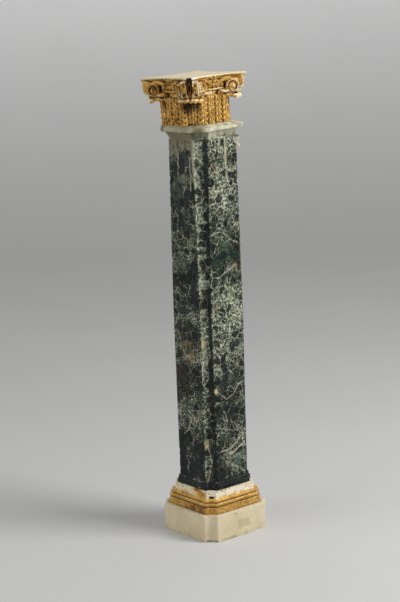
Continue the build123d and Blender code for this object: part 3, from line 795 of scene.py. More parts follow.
def paint_marble(mesh):
    """Keeps the blots, lines, net and film of the marble on the mesh, and gives the film."""
    points = places(mesh)
    x, y, z = points.T
    warp = 0.4 * rough(points, 14, 51) + 0.16 * rough(points, 5, 52)
    wander = np.stack([4.5 * rough(points, 18, 53), 4.5 * rough(points, 18, 54)], axis=1)
    edge = shaft_half - 1.2
    above_foot = step(z, shaft_foot + 20, shaft_foot + 24)
    left = step(x, -edge + 1.2, -edge) * above_foot
    right = step(y, -edge + 1.2, -edge) * above_foot
    scoop = (1 - left) * (1 - right) * step(x + y, -80, -100) * above_foot
    across = (x - y) / math.sqrt(2)
    tint = np.zeros((len(points), 3))
    tinted = np.zeros(len(points))
    spot = np.zeros(len(points))
    dark = np.zeros(len(points))
    for face, along, blots in ((right, x, right_blots), (left, y, left_blots), (scoop, across, scoop_blots)):
        for colour, marks in blots.items():
            mark = marks_on(points, along, z, marks, warp) * face
            tint += (np.array(srgb(*colour)[:3]) - tint) * mark[:, None]
            greyish = max(colour) - min(colour) < 40
            tinted = np.maximum(tinted, (0.9 if greyish else 0.42) * mark)
            if min(colour) > 130:
                spot = np.maximum(spot, 0.85 * mark)
            if max(colour) < 60:
                dark = np.maximum(dark, 0.75 * mark)
    line = np.maximum(lines_on(x, z, right_lines, wander) * right, lines_on(y, z, left_lines, wander) * left)
    line = np.maximum(line, lines_on(across, z, scoop_lines, wander) * scoop)

    def strength(table):
        return np.interp(z, [row[0] for row in table], [row[1] for row in table])

    plain = 0.12 + (0.15 + 0.5 * noise(points, 130, 55)) * step(z, shaft_foot + 14, shaft_foot + 26)
    pale = plain + (strength(pale_right) - plain) * right
    pale += (strength(pale_left) - pale) * left
    # The pale net only on the left half of the scoop; the right half stays dark as painted shade
    half_scoop = strength(pale_scoop) * step(across + 5 * rough(points, 22, 58), 14, -8) + 0.22
    pale += (half_scoop - pale) * scoop
    store(mesh, pale=pale, tinted=tinted, spot=spot, dark=dark, line=line)
    store_colour(mesh, "tint", tint)

    # Chalky film under the neck: a ragged edge on each face, and a drip down each one in view
    ragged = 10 * rough(np.column_stack([x, y, 0.25 * z]), 9, 56)
    low_edge = np.interp(y, [-50, -42, -36, -20, 8, 14, 30, 46], [925, 930, 1010, 1008, 1000, 985, 990, 985])
    film = step(z + ragged, low_edge, low_edge + 16) * left
    right_edge = np.interp(x, [-50, 5, 9, 14, 18, 34, 50], [1052, 1046, 935, 930, 1040, 1030, 1018])
    film = np.maximum(film, 0.85 * step(z + 0.6 * ragged, right_edge, right_edge + 10) * right)
    hidden = (1 - left) * (1 - right) * (1 - scoop)
    film = np.maximum(film, step(z + 2.2 * ragged, shaft_top - 34, shaft_top - 20) * hidden)
    film = np.maximum(film, 0.7 * step(z + ragged, shaft_top - 6, shaft_top + 2) * scoop)
    bent = 1.2 * rough(points, 30, 57)
    taper = 0.35 + 0.65 * step(z, 925, 1010)
    drip = step(np.abs(y + 46 + bent) / taper, 3.0, 1.2) * step(z, 920, 940) * left
    aside = np.abs(x - 11.5 + 0.03 * (z - 980) + bent)
    drip = np.maximum(drip, step(aside / taper, 2.6, 1.0) * step(z, 926, 940) * right)
    film = film * (1 - 0.5 * left * step(rough(np.column_stack([x, y, 0.1 * z]), 6, 59), -0.1, 0.4))
    film = np.maximum(film, drip)
    store(mesh, film=film, drip=drip)
    return film


def make_shaft():
    """Scooped shaft with its foot moulding; its top is cut to the lean of the head."""
    band_top = shaft_foot + 11.4
    fillet_top = band_top + 1.3 + 5.6
    sweep_top = fillet_top + 8
    fillet_half = shaft_half + 2.8
    inner = 9
    tucked = 2.0

    def scoop_at(height):
        return np.interp(height, [shaft_foot, shaft_middle, shaft_top],
                         [scoop_at_foot, scoop_at_middle, scoop_at_head])

    rows = [(foot_half - inner, foot_scoop + inner, foot_half, shaft_foot),
            (foot_half - 0.8, foot_scoop + 0.8, foot_half, shaft_foot),
            (foot_half, foot_scoop, foot_half, shaft_foot + 0.8),
            (foot_half, foot_scoop, foot_half, band_top),
            (foot_half - 1.3, foot_scoop + 0.6, foot_half, band_top + 1.3),
            (fillet_half, scoop_at(band_top) - 1.0, shaft_half + 1.6, band_top + 1.4),
            (fillet_half, scoop_at(band_top) - 1.0, shaft_half + 1.6, fillet_top - 0.5),
            (fillet_half - 0.6, scoop_at(band_top) - 0.8, shaft_half + 1.4, fillet_top)]
    for part in (0.3, 0.65, 1.0):
        height = fillet_top + (sweep_top - fillet_top) * part
        rows.append((fillet_half - 2.8 * (1 - (1 - part) ** 2), scoop_at(height), shaft_half, height))
    rows = finer(rows, 2.0)
    body = []
    for height in np.arange(sweep_top + 2.4, shaft_top + 5, 2.4):
        body.append((shaft_half, scoop_at(height), shaft_half, height))
    body += [(shaft_half - inner, scoop_at_head + inner, shaft_half, shaft_top + 6)]
    mesh = tube("marble_shaft", scooped_rings(rows + body, 36, 14))
    points = places(mesh)
    film = paint_marble(mesh)
    arris = step(np.abs(np.min(np.abs(points[:, :2]), axis=1) - (shaft_half - scoop_at(points[:, 2]))), 3.2, 0.4)
    on_skin = step(points[:, 2], shaft_foot, shaft_foot + 2) * step(points[:, 2], shaft_top - 2, shaft_top - 6)
    chips = arris * patches(points, 8, 61, 0.6, 0.9) * 1.3
    foot_edge = step(np.abs(points[:, 2] - band_top - 0.6), 2.2, 0.6) * patches(points, 7, 62, 0.62, 0.9) * 1.0
    out = 0.5 * film + 0.12 * rough(points, 70, 63) - chips - foot_edge
    move_out(mesh, out * on_skin)
    points = places(mesh)
    over = moved_by(head_frame.inverted(), points)[:, 2]
    points[:, 2] -= np.maximum(over - tucked, 0)
    set_places(mesh, points)
    put_in_scene("marble_shaft", mesh, marble(), "shaft")


# Carved capital, shaped upright on its own bed and then set on the leaning collar

bell_half = 72.0
bell_scoop = 24.5
bell_height = 110.0
capital_top = 121.0
leaf_count = 4
leaf_pitch = 2 * (bell_half - bell_scoop) / leaf_count
leaf_top = 72.0
eye_pitch = 6.6
corner_wall = math.sqrt(2) * bell_half - bell_scoop
volute_radius = 19.0
volute_out = 102.0
volute_aside = 30.0
volute_height = 91.0
volute_turn = math.radians(65)
volute_pitch = 7.2
volute_drop = 3.4
eye_radius = 7.4
band_axis = (84.0, 103.0)
band_radius = 43.0
band_half = 22.0
horn_reach = 134.4
horn_half = 4.0
horn_loss = 9.0
side_hollow = 14.0
ring_half = 4.0
ring_tall = 12.0
ring_level = 95.5
egg_count = 5
egg_pitch = 13.5
egg_level = 96.0
carving_voxel = 1.1
carving_limit = 188000

# The scroll's eye at the right corner, seen from the camera
right_eye = (50.9, -93.3, volute_height - volute_drop)


def strip(path, half_width, front, back, lengths, across):
    """Closed rings of a leaf-like strip: path gives (out, up) and its slope, front and back its two faces."""
    rings = []
    for part in np.linspace(0, 1, lengths):
        there = np.linspace(-1, 1, across)
        out, up, slope = path(part, there)
        face = front(part, there)
        rear = back(part, there)
        side = half_width(part) * there
        normal_out = np.cos(slope)
        normal_up = -np.sin(slope)
        ahead = np.column_stack([side, out + normal_out * face, up + normal_up * face])
        behind = np.column_stack([side, out + normal_out * rear, up + normal_up * rear])[::-1]
        rings.append(np.concatenate([ahead, behind]))
    return np.array(rings)


def curled_path(start_out, stem, radius, turn, lean_out=0.0):
    """A stem that rises and then rolls outward by turn radians."""
    length = stem + radius * turn

    def path(part, there):
        run = part * length
        if run < stem:
            return start_out + lean_out * run / stem + 0 * there, run + 0 * there, 0.0
        angle = (run - stem) / radius
        return (start_out + lean_out + radius * (1 - math.cos(angle)) + 0 * there,
                stem + radius * math.sin(angle) + 0 * there, angle)
    return path


def drilled(side, up, first, spacing):
    """Depth of a chain of drilled eyes near a leaf's edge; side runs from 0 at the midrib to 1 at the edge."""
    off = (up - first) / spacing
    off = (off - round(off)) * spacing
    return 7.0 * hump(side, 0.86, 0.14) * math.exp(-(off / 2.7) ** 2)


def carved_face(there, up, number):
    """Height of the carving across an upright leaf: midrib, grooves, lobes and the drilled eyes of both edges."""
    side = np.abs(there)
    crown = 5.0 * (1 - side ** 5) + 2.0 * up / leaf_top
    rib = 1.2 * hump(there, 0, 0.12) - 2.2 * hump(side, 0.27, 0.07)
    lobes = 1.1 * np.cos(math.pi * (up / eye_pitch) - 3.4 * side + 2.0 * np.sign(there)) * step(side, 0.3, 0.55)
    first = eye_pitch * (0.9 + 0.25 * math.sin(5.1 * number))
    right = drilled(side, up, first, 2 * eye_pitch) * (there > 0)
    left = drilled(side, up, first + eye_pitch, 2 * eye_pitch) * (there < 0)
    return crown + rib + lobes - right - left


def make_leaf(number):
    """Narrow upright leaf with a midrib and a chain of drilled eyes down each edge."""

    def path(part, there):
        return np.full(len(there), bell_half + 1.0), np.full(len(there), part * leaf_top), 0.0

    def front(part, there):
        return carved_face(there, part * leaf_top, number) - 3.0 * step(part, 0.93, 1.0)

    def back(part, there):
        return np.full(len(there), -4.0)

    return strip(path, lambda part: 0.5 * leaf_pitch, front, back, 110, 45)


def make_leaf_tip():
    """Broad leaf tip with five lobes that rolls outward from the top of two narrow leaves."""
    turn = math.radians(165)
    radius = 6.6
    rise = 12.0
    foot = 60.0
    path_from_foot = curled_path(bell_half + 2.0, rise, radius, turn, 1.0)

    def path(part, there):
        shorter = part * (1 - 0.10 * there ** 2)
        out, up, slope = path_from_foot(shorter.max(), there)
        outs = []
        ups = []
        slopes = []
        for place in shorter:
            one_out, one_up, one_slope = path_from_foot(place, np.zeros(1))
            outs.append(one_out[0])
            ups.append(one_up[0])
            slopes.append(one_slope)
        return np.array(outs), np.array(ups) + foot, np.array(slopes)

    def lobes(there):
        return np.abs(np.cos(2.5 * math.pi * there)) ** 0.6

    def front(part, there):
        return 1.4 + 1.6 * lobes(there) * step(part, 0.1, 0.5)

    def back(part, there):
        return -3.0 - 2.2 * lobes(there) * step(part, 0.35, 0.7) + 1.2 * step(part, 0.92, 1.0)

    def half_width(part):
        return 16.0 * (0.86 + 0.14 * step(part, 0.1, 0.5)) * (1 - 0.16 * step(part, 0.85, 1.0))

    return strip(path, half_width, front, back, 60, 61)


def make_corner_leaf():
    """Broad leaf that climbs a scooped corner, turns out under the scrolls and drops in five lobes."""
    stem = 47.0
    wide_radius = 19.0
    level = 14.0
    roll_radius = 3.6
    first = stem
    second = first + wide_radius * math.pi / 2
    third = second + level
    total = third + roll_radius * math.radians(125)
    start = corner_wall + 1.0

    def path(part, there):
        lobe = 1 - 0.016 * (1 - np.abs(np.cos(2.5 * math.pi * there)))
        run = part * total * np.where(part > 0.7, lobe, 1.0)
        spread = step(part, 0.35, 1.0)
        out = np.full(len(there), start)
        up = run.copy()
        slope = np.zeros(len(there))
        wide = run >= first
        angle = np.clip((run - first) / wide_radius, 0, math.pi / 2)
        out = np.where(wide, start + wide_radius * (1 - np.cos(angle)), out)
        up = np.where(wide, first + wide_radius * np.sin(angle), up)
        slope = np.where(wide, angle, slope)
        flat = run >= second
        out = np.where(flat, start + wide_radius + np.minimum(run - second, level), out)
        rolled = run >= third
        roll = np.clip((run - third) / roll_radius, 0, 3)
        out = np.where(rolled, start + wide_radius + level + roll_radius * np.sin(roll), out)
        up = np.where(rolled, first + wide_radius - roll_radius * (1 - np.cos(roll)), up)
        slope = np.where(rolled, math.pi / 2 + roll, slope)
        out = out - 13 * spread * there ** 2
        up = up - 3 * spread * there ** 2
        return out, up, slope

    def half_width(part):
        lobed = 1 + 0.05 * math.cos(2 * math.pi * 4 * part)
        return (14.5 + 17.5 * step(part, 0.42, 0.8)) * lobed * (1 - 0.10 * step(part, 0.95, 1.0))

    def ridges(part, there):
        depth = 2.2 * step(part, 0.5, 0.85)
        return depth * (np.abs(np.cos(2.5 * math.pi * there)) ** 0.7 - 0.6)

    def front(part, there):
        carving = 1.3 * carved_face(there, min(part * total, first), 2) - 2.4
        return carving * step(part, 0.62, 0.5) + (2.0 + ridges(part, there)) * step(part, 0.5, 0.62)

    def back(part, there):
        body = -9.0 + 1.2 * step(part, 0.3, 0.6) + 3.2 * step(part, 0.86, 0.92)
        return body - 0.8 * ridges(part, there) * step(part, 0.4, 0.7)

    return strip(path, half_width, front, back, 120, 75)


def make_volute():
    """Scroll disc: a ridge wound round a domed eye, looking along its own Z."""
    turns = 160
    radii = np.concatenate([[0.01], np.linspace(0.6, volute_radius, 40)])
    angle = np.linspace(0, 2 * math.pi, turns, endpoint=False)
    rows = []
    for radius in radii:
        height = np.full(turns, -1.6)
        for wind in range(2):
            along = angle + 2 * math.pi * wind
            ridge = volute_radius - 2.2 - volute_pitch * along / (2 * math.pi)
            crest = 5.0 * np.exp(-np.abs((radius - ridge) / 2.0) ** 3) * (ridge > eye_radius)
            height = np.maximum(height, crest - 1.6)
        if radius < eye_radius:
            height = np.full(turns, 5.2 * math.sqrt(max(0, 1 - (radius / eye_radius) ** 2)) - 1.0)
        sunk = volute_drop * (1 - (radius / volute_radius) ** 2)
        rows.append(np.column_stack([radius * np.cos(angle), radius * np.sin(angle) - sunk, height]))
    rim = volute_radius + 0.2
    for depth, size in ((-1.5, rim), (-8, rim - 1.6), (-15, rim - 1), (-16, rim - 4)):
        rows.append(np.column_stack([size * np.cos(angle), size * np.sin(angle), np.full(turns, depth)]))
    return np.array(rows)[::-1]


def slot_half(up):
    """Half width of the slot down the middle of a corner."""
    return np.interp(up, [62, 67, 76, 86, 98, 107, 112, capital_top], [0.4, 1.8, 4.6, 7.0, 7.4, 6.2, 6.8, 7.6])


def on_ring(aside, up, thickness):
    """1 on the narrow upright ring in a slot."""
    return hump(np.hypot(aside / ring_half, (up - ring_level) / ring_tall), 1, thickness)


def make_band():
    """Bulging face between two scrolls: a slot that holds a narrow ring, and a hollowed tongue each side."""
    low = math.radians(-50)
    high = math.radians(15)

    def path(part, there):
        angle = low + (high - low) * part
        out = band_axis[0] + band_radius * math.cos(angle)
        up = band_axis[1] + band_radius * math.sin(angle)
        return np.full(len(there), out), np.full(len(there), up), -angle

    def front(part, there):
        aside = np.abs(there * band_half)
        up = band_axis[1] + band_radius * math.sin(low + (high - low) * part)
        slot = slot_half(up)
        relief = 1.9 * hump(aside - slot, 2.0, 1.5)
        tongue = np.hypot((aside - 14.6) / 4.4, (up - 90) / 13)
        relief += 2.8 * np.sqrt(np.clip(1 - tongue ** 2, 0, 1)) - 2.2 * step(np.abs(tongue - 1.2), 0.2, 0.0)
        relief -= 6.0 * np.exp(-((aside - 14.2) / 1.9) ** 2 - ((up - 100.5) / 2.4) ** 2)
        relief -= 6.5 * np.exp(-((aside - 14.4) / 2.8) ** 2 - ((up - 78) / 4.2) ** 2)
        relief += 0.6 * hump(aside, 20.4, 1.6)
        relief = relief - (8.5 + relief) * step(aside, slot + 0.7, slot - 0.7)
        relief += 8.4 * on_ring(aside, up, 0.32) * (aside < slot)
        return relief

    def back(part, there):
        return np.full(len(there), -18.0)

    return strip(path, lambda part: band_half, front, back, 84, 89)


def blob(centre, size, power=2.0, steps=20):
    """Rounded lump of three half sizes, in rings from foot to head."""
    rows = []
    angle = np.linspace(0, 2 * math.pi, steps, endpoint=False)
    for tilt in np.linspace(-math.pi / 2 + 0.05, math.pi / 2 - 0.05, steps // 2 + 1):
        spread = math.cos(tilt) ** (2 / power)
        height = math.copysign(abs(math.sin(tilt)) ** (2 / power), tilt)
        rows.append(np.column_stack([centre[0] + size[0] * spread * np.cos(angle),
                                     centre[1] + size[1] * spread * np.sin(angle),
                                     np.full(steps, centre[2] + size[2] * height)]))
    return np.array(rows)


def make_egg(number):
    """Egg of the roll, wide at the top."""
    x = (number - (egg_count - 1) / 2) * egg_pitch
    rings = blob((x, -bell_half - 3.5, egg_level), (5.0, 5.5, 9.0))
    shrink = 1 - 0.25 * step(rings[:, :, 2], egg_level + 2, egg_level - 9)
    rings[:, :, 0] = x + (rings[:, :, 0] - x) * shrink
    return rings


def make_dart(number):
    """Narrow dart between two eggs."""
    x = (number - egg_count / 2) * egg_pitch
    return blob((x, -bell_half - 1.5, egg_level - 1), (1.5, 4.5, 9.5), 2.4, 12)


def make_fleuron():
    """Open flower under the middle of one side, with ragged petals round a boss."""
    steps = 120
    petals = 6
    flower_level = 105.5
    angle = np.linspace(0, 2 * math.pi, steps, endpoint=False)
    wall = (horn_reach - horn_half) / math.sqrt(2) - side_hollow - 4
    rows = []
    for part in np.linspace(0.02, 1, 26):
        petal = np.abs(np.cos(petals / 2 * angle))
        reach = part * (10.5 + 6.5 * petal ** 0.6)
        height = 6.0 + 3.0 * petal * math.sin(math.pi * part) - 4.2 * (1 - petal) * part
        height -= 5.0 * part ** 3 + 2.6 * math.exp(-((part - 0.36) / 0.08) ** 2)
        height += 3.2 * math.sqrt(max(0, 1 - (part / 0.3) ** 2)) if part < 0.3 else 0
        height += 0.9 * np.cos(3 * petals * angle) * step(part, 0.4, 0.8)
        rows.append(np.column_stack([reach * np.cos(angle) * 1.08, -wall - height,
                                     flower_level + reach * np.sin(angle) * 0.86]))
    rear = rows[-1].copy()
    rear[:, 1] = -wall + 6
    rows.append(rear)
    return np.array(rows)[::-1]


def make_arm(side):
    """Ribbed stem that springs beside the flower and runs up into a scroll."""
    lengths = 30
    sides = 20
    start = np.array([side * 9.0, -bell_half - 6.0, 97.0])
    stop = np.array([side * 46.0, -93.0, 107.5])
    rows = []
    around = np.linspace(0, 2 * math.pi, sides, endpoint=False)
    for part in np.linspace(0, 1, lengths):
        centre = start + (stop - start) * part
        centre[2] += 5.0 * math.sin(math.pi * part)
        thick = 3.2 + 1.6 * part
        tall = 4.2 + 1.2 * part
        ribbed = 1 + 0.12 * np.cos(3 * around)
        rows.append(np.column_stack([np.full(sides, centre[0]), centre[1] - thick * np.cos(around) * ribbed,
                                     centre[2] + tall * np.sin(around) * ribbed]))
    rows = np.array(rows)
    return rows if side > 0 else rows[:, ::-1]


def abacus_ring(setback, steps=144, tip_steps=8):
    """Outline of the abacus, hollow along its sides, with blunt horns, set back from its edge."""
    reach = horn_reach - setback
    far = (reach + horn_half) / math.sqrt(2)
    near = (reach - horn_half) / math.sqrt(2)
    depth = side_hollow + 0.4 * setback + far - near
    across = np.linspace(-near, near, steps, endpoint=False)
    bow = depth * (1 - (across / near) ** 2)
    side = np.column_stack([across, -far + bow])
    tip = np.linspace(0, 1, tip_steps, endpoint=False)[:, None]
    horn = np.array([near, -far]) + tip * np.array([far - near, far - near])
    return all_round(np.concatenate([side, horn]))


def make_abacus():
    """Two-step slab with a rounded lower moulding; the tip of the near horn is broken away."""
    rows = []
    for setback, height in ((16, 107), (9, 108), (5.4, 109.5), (3.4, 111), (2.6, 113), (2.8, 115.4), (1.0, 116),
                            (0.2, 117.2), (0.0, 119.5), (0.9, 120.8), (3, capital_top), (30, capital_top)):
        ring = abacus_ring(setback)
        out = -(ring[:, 0] + ring[:, 1]) / math.sqrt(2)
        aside = (ring[:, 0] - ring[:, 1]) / math.sqrt(2)
        jagged = 1.6 * math.sin(2.1 * height) + 1.2 * np.sin(1.9 * aside + height)
        lost = np.maximum(out - (horn_reach - horn_loss - 7 + jagged), 0)
        lost *= step(np.abs(aside + 1.4 * math.sin(1.3 * height)), 10.5, 4.5)
        ring = ring + (lost / math.sqrt(2))[:, None]
        rows.append(np.column_stack([ring, np.full(len(ring), height)]))
    return np.array(rows)


def turned_by(rings, angle):
    """Rings turned about the upright axis by an angle."""
    turn = np.array(Matrix.Rotation(angle, 3, "Z"))
    return rings @ turn.T


def four_times(rings, first=0.0):
    """The same rings on all four sides, or from a corner on."""
    return [turned_by(rings, first + quarter * math.pi / 2) for quarter in range(4)]


def facing_out(rings):
    """Rings of a strip, which looks along +Y, turned to look out of the side along -Y."""
    return (rings @ np.array([[1, 0, 0], [0, -1, 0], [0, 0, 1]]))[:, ::-1]


def joined(name, solids):
    """One mesh of many closed solids."""
    points = []
    faces = []
    start = 0
    for rings in solids:
        count = rings.shape[1]
        last = (len(rings) - 1) * count
        quads = ring_faces(len(rings), count) + start
        faces += quads.tolist()
        faces.append([start + number for number in range(count - 1, -1, -1)])
        faces.append([start + last + number for number in range(count)])
        points.append(rings.reshape(-1, 3))
        start += len(rings) * count
    mesh = bpy.data.meshes.new(name)
    mesh.from_pydata((np.concatenate(points) * MM).tolist(), [], faces)
    mesh.update()
    return mesh


def as_modified(holder, name, keep_masks=False):
    """The mesh of an object as its modifiers leave it; the object and its old mesh go."""
    graph = bpy.context.evaluated_depsgraph_get()
    mesh = bpy.data.meshes.new_from_object(holder.evaluated_get(graph), preserve_all_data_layers=keep_masks,
                                           depsgraph=graph)
    old = holder.data
    bpy.data.objects.remove(holder)
    bpy.data.meshes.remove(old)
    mesh.name = name
    return mesh


def carved(name, mesh, voxel):
    """The mesh fused into one skin, as if cut from one block."""
    holder = new_object(name + "_block", mesh)
    fuse = holder.modifiers.new("fuse", "REMESH")
    fuse.mode = "VOXEL"
    fuse.voxel_size = voxel * MM
    fuse.use_smooth_shade = True
    return as_modified(holder, name)


def thinned(mesh, limit):
    """The mesh with triangles taken out where it is flattest, until it keeps to a limit."""
    mesh.calc_loop_triangles()
    count = len(mesh.loop_triangles)
    if count <= limit:
        return mesh
    holder = new_object(mesh.name + "_whole", mesh)
    thin = holder.modifiers.new("thin", "DECIMATE")
    thin.ratio = limit / count
    return as_modified(holder, mesh.name, keep_masks=True)


def smoothed(points, edges, rounds):
    """Points drawn towards the middle of their neighbours, a number of times."""
    count = len(points)
    ends = np.concatenate([edges[:, 0], edges[:, 1]])
    others = np.concatenate([edges[:, 1], edges[:, 0]])
    share = np.maximum(np.bincount(ends, minlength=count), 1)
    for number in range(rounds):
        middle = np.stack([np.bincount(ends, weights=points[others, axis], minlength=count) / share
                           for axis in range(3)], axis=1)
        points = 0.5 * (points + middle)
    return points


def edges_of(mesh):
    """Both ends of each edge of a mesh."""
    flat = np.empty(2 * len(mesh.edges), dtype=np.int32)
    mesh.edges.foreach_get("vertices", flat)
    return flat.reshape(-1, 2)


def hollow_depth(mesh, rounds):
    """How far each point lies below its smoothed surroundings, in millimetres."""
    points = places(mesh)
    gap = smoothed(points, edges_of(mesh), rounds) - points
    return np.einsum("ij,ij->i", gap, normals(mesh))


def finish_carving(name, solids):
    """Fuses, wears and paints one part of the capital, then sets it in its leaning place."""
    mesh = carved(name, joined(name, solids), carving_voxel)
    points = places(mesh)
    x, y, z = points.T
    wear = 0.3 * rough(points, 7, 71) + 0.2 * rough(points, 18, 72)
    proud = np.clip(-hollow_depth(mesh, 6), 0, 2)
    nicks = patches(points, 5, 73, 0.68, 0.9) * np.minimum(proud, 0.8) * 1.4
    keep = step(z, 0, 1.5)
    move_out(mesh, np.minimum(wear - nicks, 0.4) * keep)

    # Where each point lies: sunk, out from a side or a corner, beside a corner's middle, or on a named part
    fine = hollow_depth(mesh, 5)
    broad = hollow_depth(mesh, 26)
    face_out = np.max(np.abs(points[:, :2]), axis=1)
    corner_out = (np.abs(x) + np.abs(y)) / math.sqrt(2)
    aside = np.abs(np.abs(x) - np.abs(y)) / math.sqrt(2)
    near_out = -(x + y) / math.sqrt(2)
    from_axis = np.hypot(corner_out - band_axis[0], z - band_axis[1])
    near = step(near_out, 98, 112) * step(aside, 32, 22)
    # The left side of the capital, painted darker as shade: less pale gesso, more worn to the clay and more dirt
    on_left = step(-x, 50, 70) * step(np.abs(y), 96, 80)
    at_side = step(np.abs(x - y) / math.sqrt(2), 106, 120)
    in_slot = step(aside, slot_half(z) + 1.4, slot_half(z) - 0.2) * step(corner_out, 92, 98) * step(z, 62, 66)
    in_slot *= step(z, 110, 107)
    ragged = 2.2 * rough(points, 9, 74)
    ring = on_ring(aside, z, 0.34) * in_slot
    deep = in_slot * step(from_axis, 42.5, 39) * (1 - ring)
    broken = step(near_out, 110, 113) * step(np.hypot(aside / 8.5, (z - 109) / 13) + 0.06 * ragged, 1.1, 0.92)

    # Bare gesso: the top of the slab, the broken near corner, and what stands proud; pale gesso is also painted as
    # highlight on proud parts, leaf tips and knobs, the ledge, the rims and the scrolls at the far sides
    bare = step(z + ragged, 116.0, 118.4) * (0.5 + 0.5 * noise(points, 12, 75))
    bare = np.maximum(bare, near * step(z + 1.6 * ragged, 102, 110) * 0.54)
    bare = np.maximum(bare, step(z, 120.2, 120.8) * (0.7 + 0.3 * noise(points, 25, 76)))
    # Painted highlight on what stands proud, less on the left and more at the near corner, over real wear to the
    # gesso
    bare += (0.56 - 0.24 * on_left) * step(-fine, 0.05, 0.34) * patches(points, 8, 77, 0.25, 0.6)
    bare += 0.5 * near * step(-fine, 0.05, 0.4) * patches(points, 7, 88, 0.35, 0.7) * step(z, 60, 90)
    # Painted highlight on the scrolls at the left and right edges of the capital
    bare += 0.5 * at_side * patches(points, 12, 81, 0.2, 0.55)
    # Painted highlight on broad forms that stand proud
    bare += 0.3 * step(-broad, 1.2, 2.6) * patches(points, 16, 78, 0.4, 0.75)
    # Painted highlight on the leaf tips and the corner leaf's knobs, over worn gesso
    tips = between(z, 60, 66, 80, 86) * step(face_out, bell_half + 6, bell_half + 10)
    bare += 0.42 * tips * patches(points, 9, 82, 0.2, 0.55)
    knobs = between(z, 52, 56, 70, 74) * step(corner_out, 100, 107)
    # Painted highlight along the top of the ledge, on the right side only
    ledge = between(z, 82.5, 84, 87.5, 89) * step(face_out, bell_half + 3, bell_half + 6)
    ledge = ledge * (1 - on_left) * (1 - near)
    bare += (0.42 - 0.2 * near) * knobs * patches(points, 8, 84, 0.2, 0.55)
    bare += 0.5 * ledge * patches(points, 12, 85, 0.25, 0.55)
    # Painted highlight on the scroll rims by the near corner, stronger on the right
    rims = step(near_out, 84, 92) * between(aside, 19.5, 21.5, 26, 30) * between(z, 79, 84, 102, 106)
    bare += rims * (0.28 + 0.3 * step(x - y, 10, 30))

    # Gold worn to the clay, and dirt in the hollows with painted shade: darker hollows, a painted shadow under the
    # corner leaf, a dark slot and a darker left side
    worn = 0.26 + 0.34 * rough(points, 6, 89) + 0.35 * step(fine, 0.05, 0.5)
    worn += 0.3 * patches(points, 14, 79, 0.55, 0.85)
    # Painted shade on the left side; the slot and its ring are worn to the clay
    worn += 0.14 * on_left + 0.3 * in_slot + 0.3 * ring
    # Painted shadow under the corner leaf, low in the scoop of the bell
    shade = between(z, 16, 52, 64, 74) * step(corner_out, 108, 98) * step(aside, 28, 16)
    # Painted shade in small and broad hollows and on the left side, counted with the dirt
    dirt = 1.2 * step(fine, 0.02, 0.38) + 0.9 * step(broad, 0.4, 2.6) + 0.2 * on_left + 0.75 * shade
    dirt += 0.12 * patches(points, 24, 83, 0.4, 0.7) + 1.2 * np.maximum(deep, broken)
    dirt += 0.5 * in_slot * step(near_out, 60, 90) * step(z, 76, 68)
    dirt = dirt * (1 - 0.85 * ring)

    # The scroll that faces the camera keeps its gilding on the eye and shows gesso round it
    to_eye = far_from(points, right_eye)
    eye = step(to_eye, eye_radius + 2.5, eye_radius)
    scroll = step(to_eye, volute_radius + 5, volute_radius) * (1 - eye)
    bare += 0.4 * scroll * step(-fine, 0.0, 0.35) - 0.6 * eye
    worn -= 0.6 * eye
    dirt = dirt * (1 - 0.7 * eye)
    bare = bare * (1 - np.maximum(in_slot, broken)) + 0.3 * ring

    # White chalk on the top of the slab
    white = np.hypot((near_out - 106) / 16, ((x - y) / math.sqrt(2) - 14) / 9) + 0.3 * rough(points, 6, 86)
    chalk = 0.9 * step(white, 1.1, 0.75) * step(z, 116, 119) * (1 - broken)
    chalk += 0.5 * step(z, 117, 119.5) * patches(points, 16, 87, 0.55, 0.75) * (1 - broken)
    store(mesh, bare=bare, worn=worn, dirt=np.clip(dirt, 0, 1.3), chalk=np.clip(chalk + 0.08 * eye, 0, 0.9))
    set_places(mesh, moved_by(capital_frame, places(mesh)))
    return thinned(mesh, carving_limit)


def leaf_solids():
    """Bell with four narrow leaves and two tips a side, and a broad leaf up each corner."""
    bell_profile = [(bell_half, bell_scoop, bell_half, height) for height in np.linspace(0, bell_height, 45)]
    bell_profile.insert(0, (bell_half - 12, bell_scoop + 12, bell_half, 0))
    bell_profile.append((bell_half - 12, bell_scoop + 12, bell_half, bell_height))
    solids = [scooped_rings(bell_profile, 40, 20)]
    for number in range(leaf_count):
        leaf = facing_out(make_leaf(number))
        leaf[:, :, 0] += (number - (leaf_count - 1) / 2) * leaf_pitch
        solids += four_times(leaf)
    tip = facing_out(make_leaf_tip())
    for side in (-1, 1):
        solids += four_times(tip + np.array([side * 30.0, 0, 0]))
    return solids + four_times(facing_out(make_corner_leaf()), math.pi / 4)


def scroll_solids():
    """Two scrolls, a bulging band and the block behind them at each corner."""
    solids = []
    to_face = np.array(Matrix.Rotation(math.pi / 2, 3, "X"))
    upright = make_volute() @ to_face.T
    mirrored = (upright * np.array([-1, 1, 1]))[:, ::-1]
    band = facing_out(make_band())
    filler = blob((0, -(corner_wall + 18), 90), (band_half, 24, 21), 6.0, 32)
    for quarter in range(4):
        corner = math.pi / 4 + quarter * math.pi / 2
        solids.append(turned_by(band, corner))
        solids.append(turned_by(filler, corner))
        for side, scroll in ((-1, mirrored), (1, upright)):
            scroll = turned_by(scroll, side * volute_turn)
            scroll += np.array([side * volute_aside, -volute_out, volute_height])
            solids.append(turned_by(scroll, corner))
    return solids


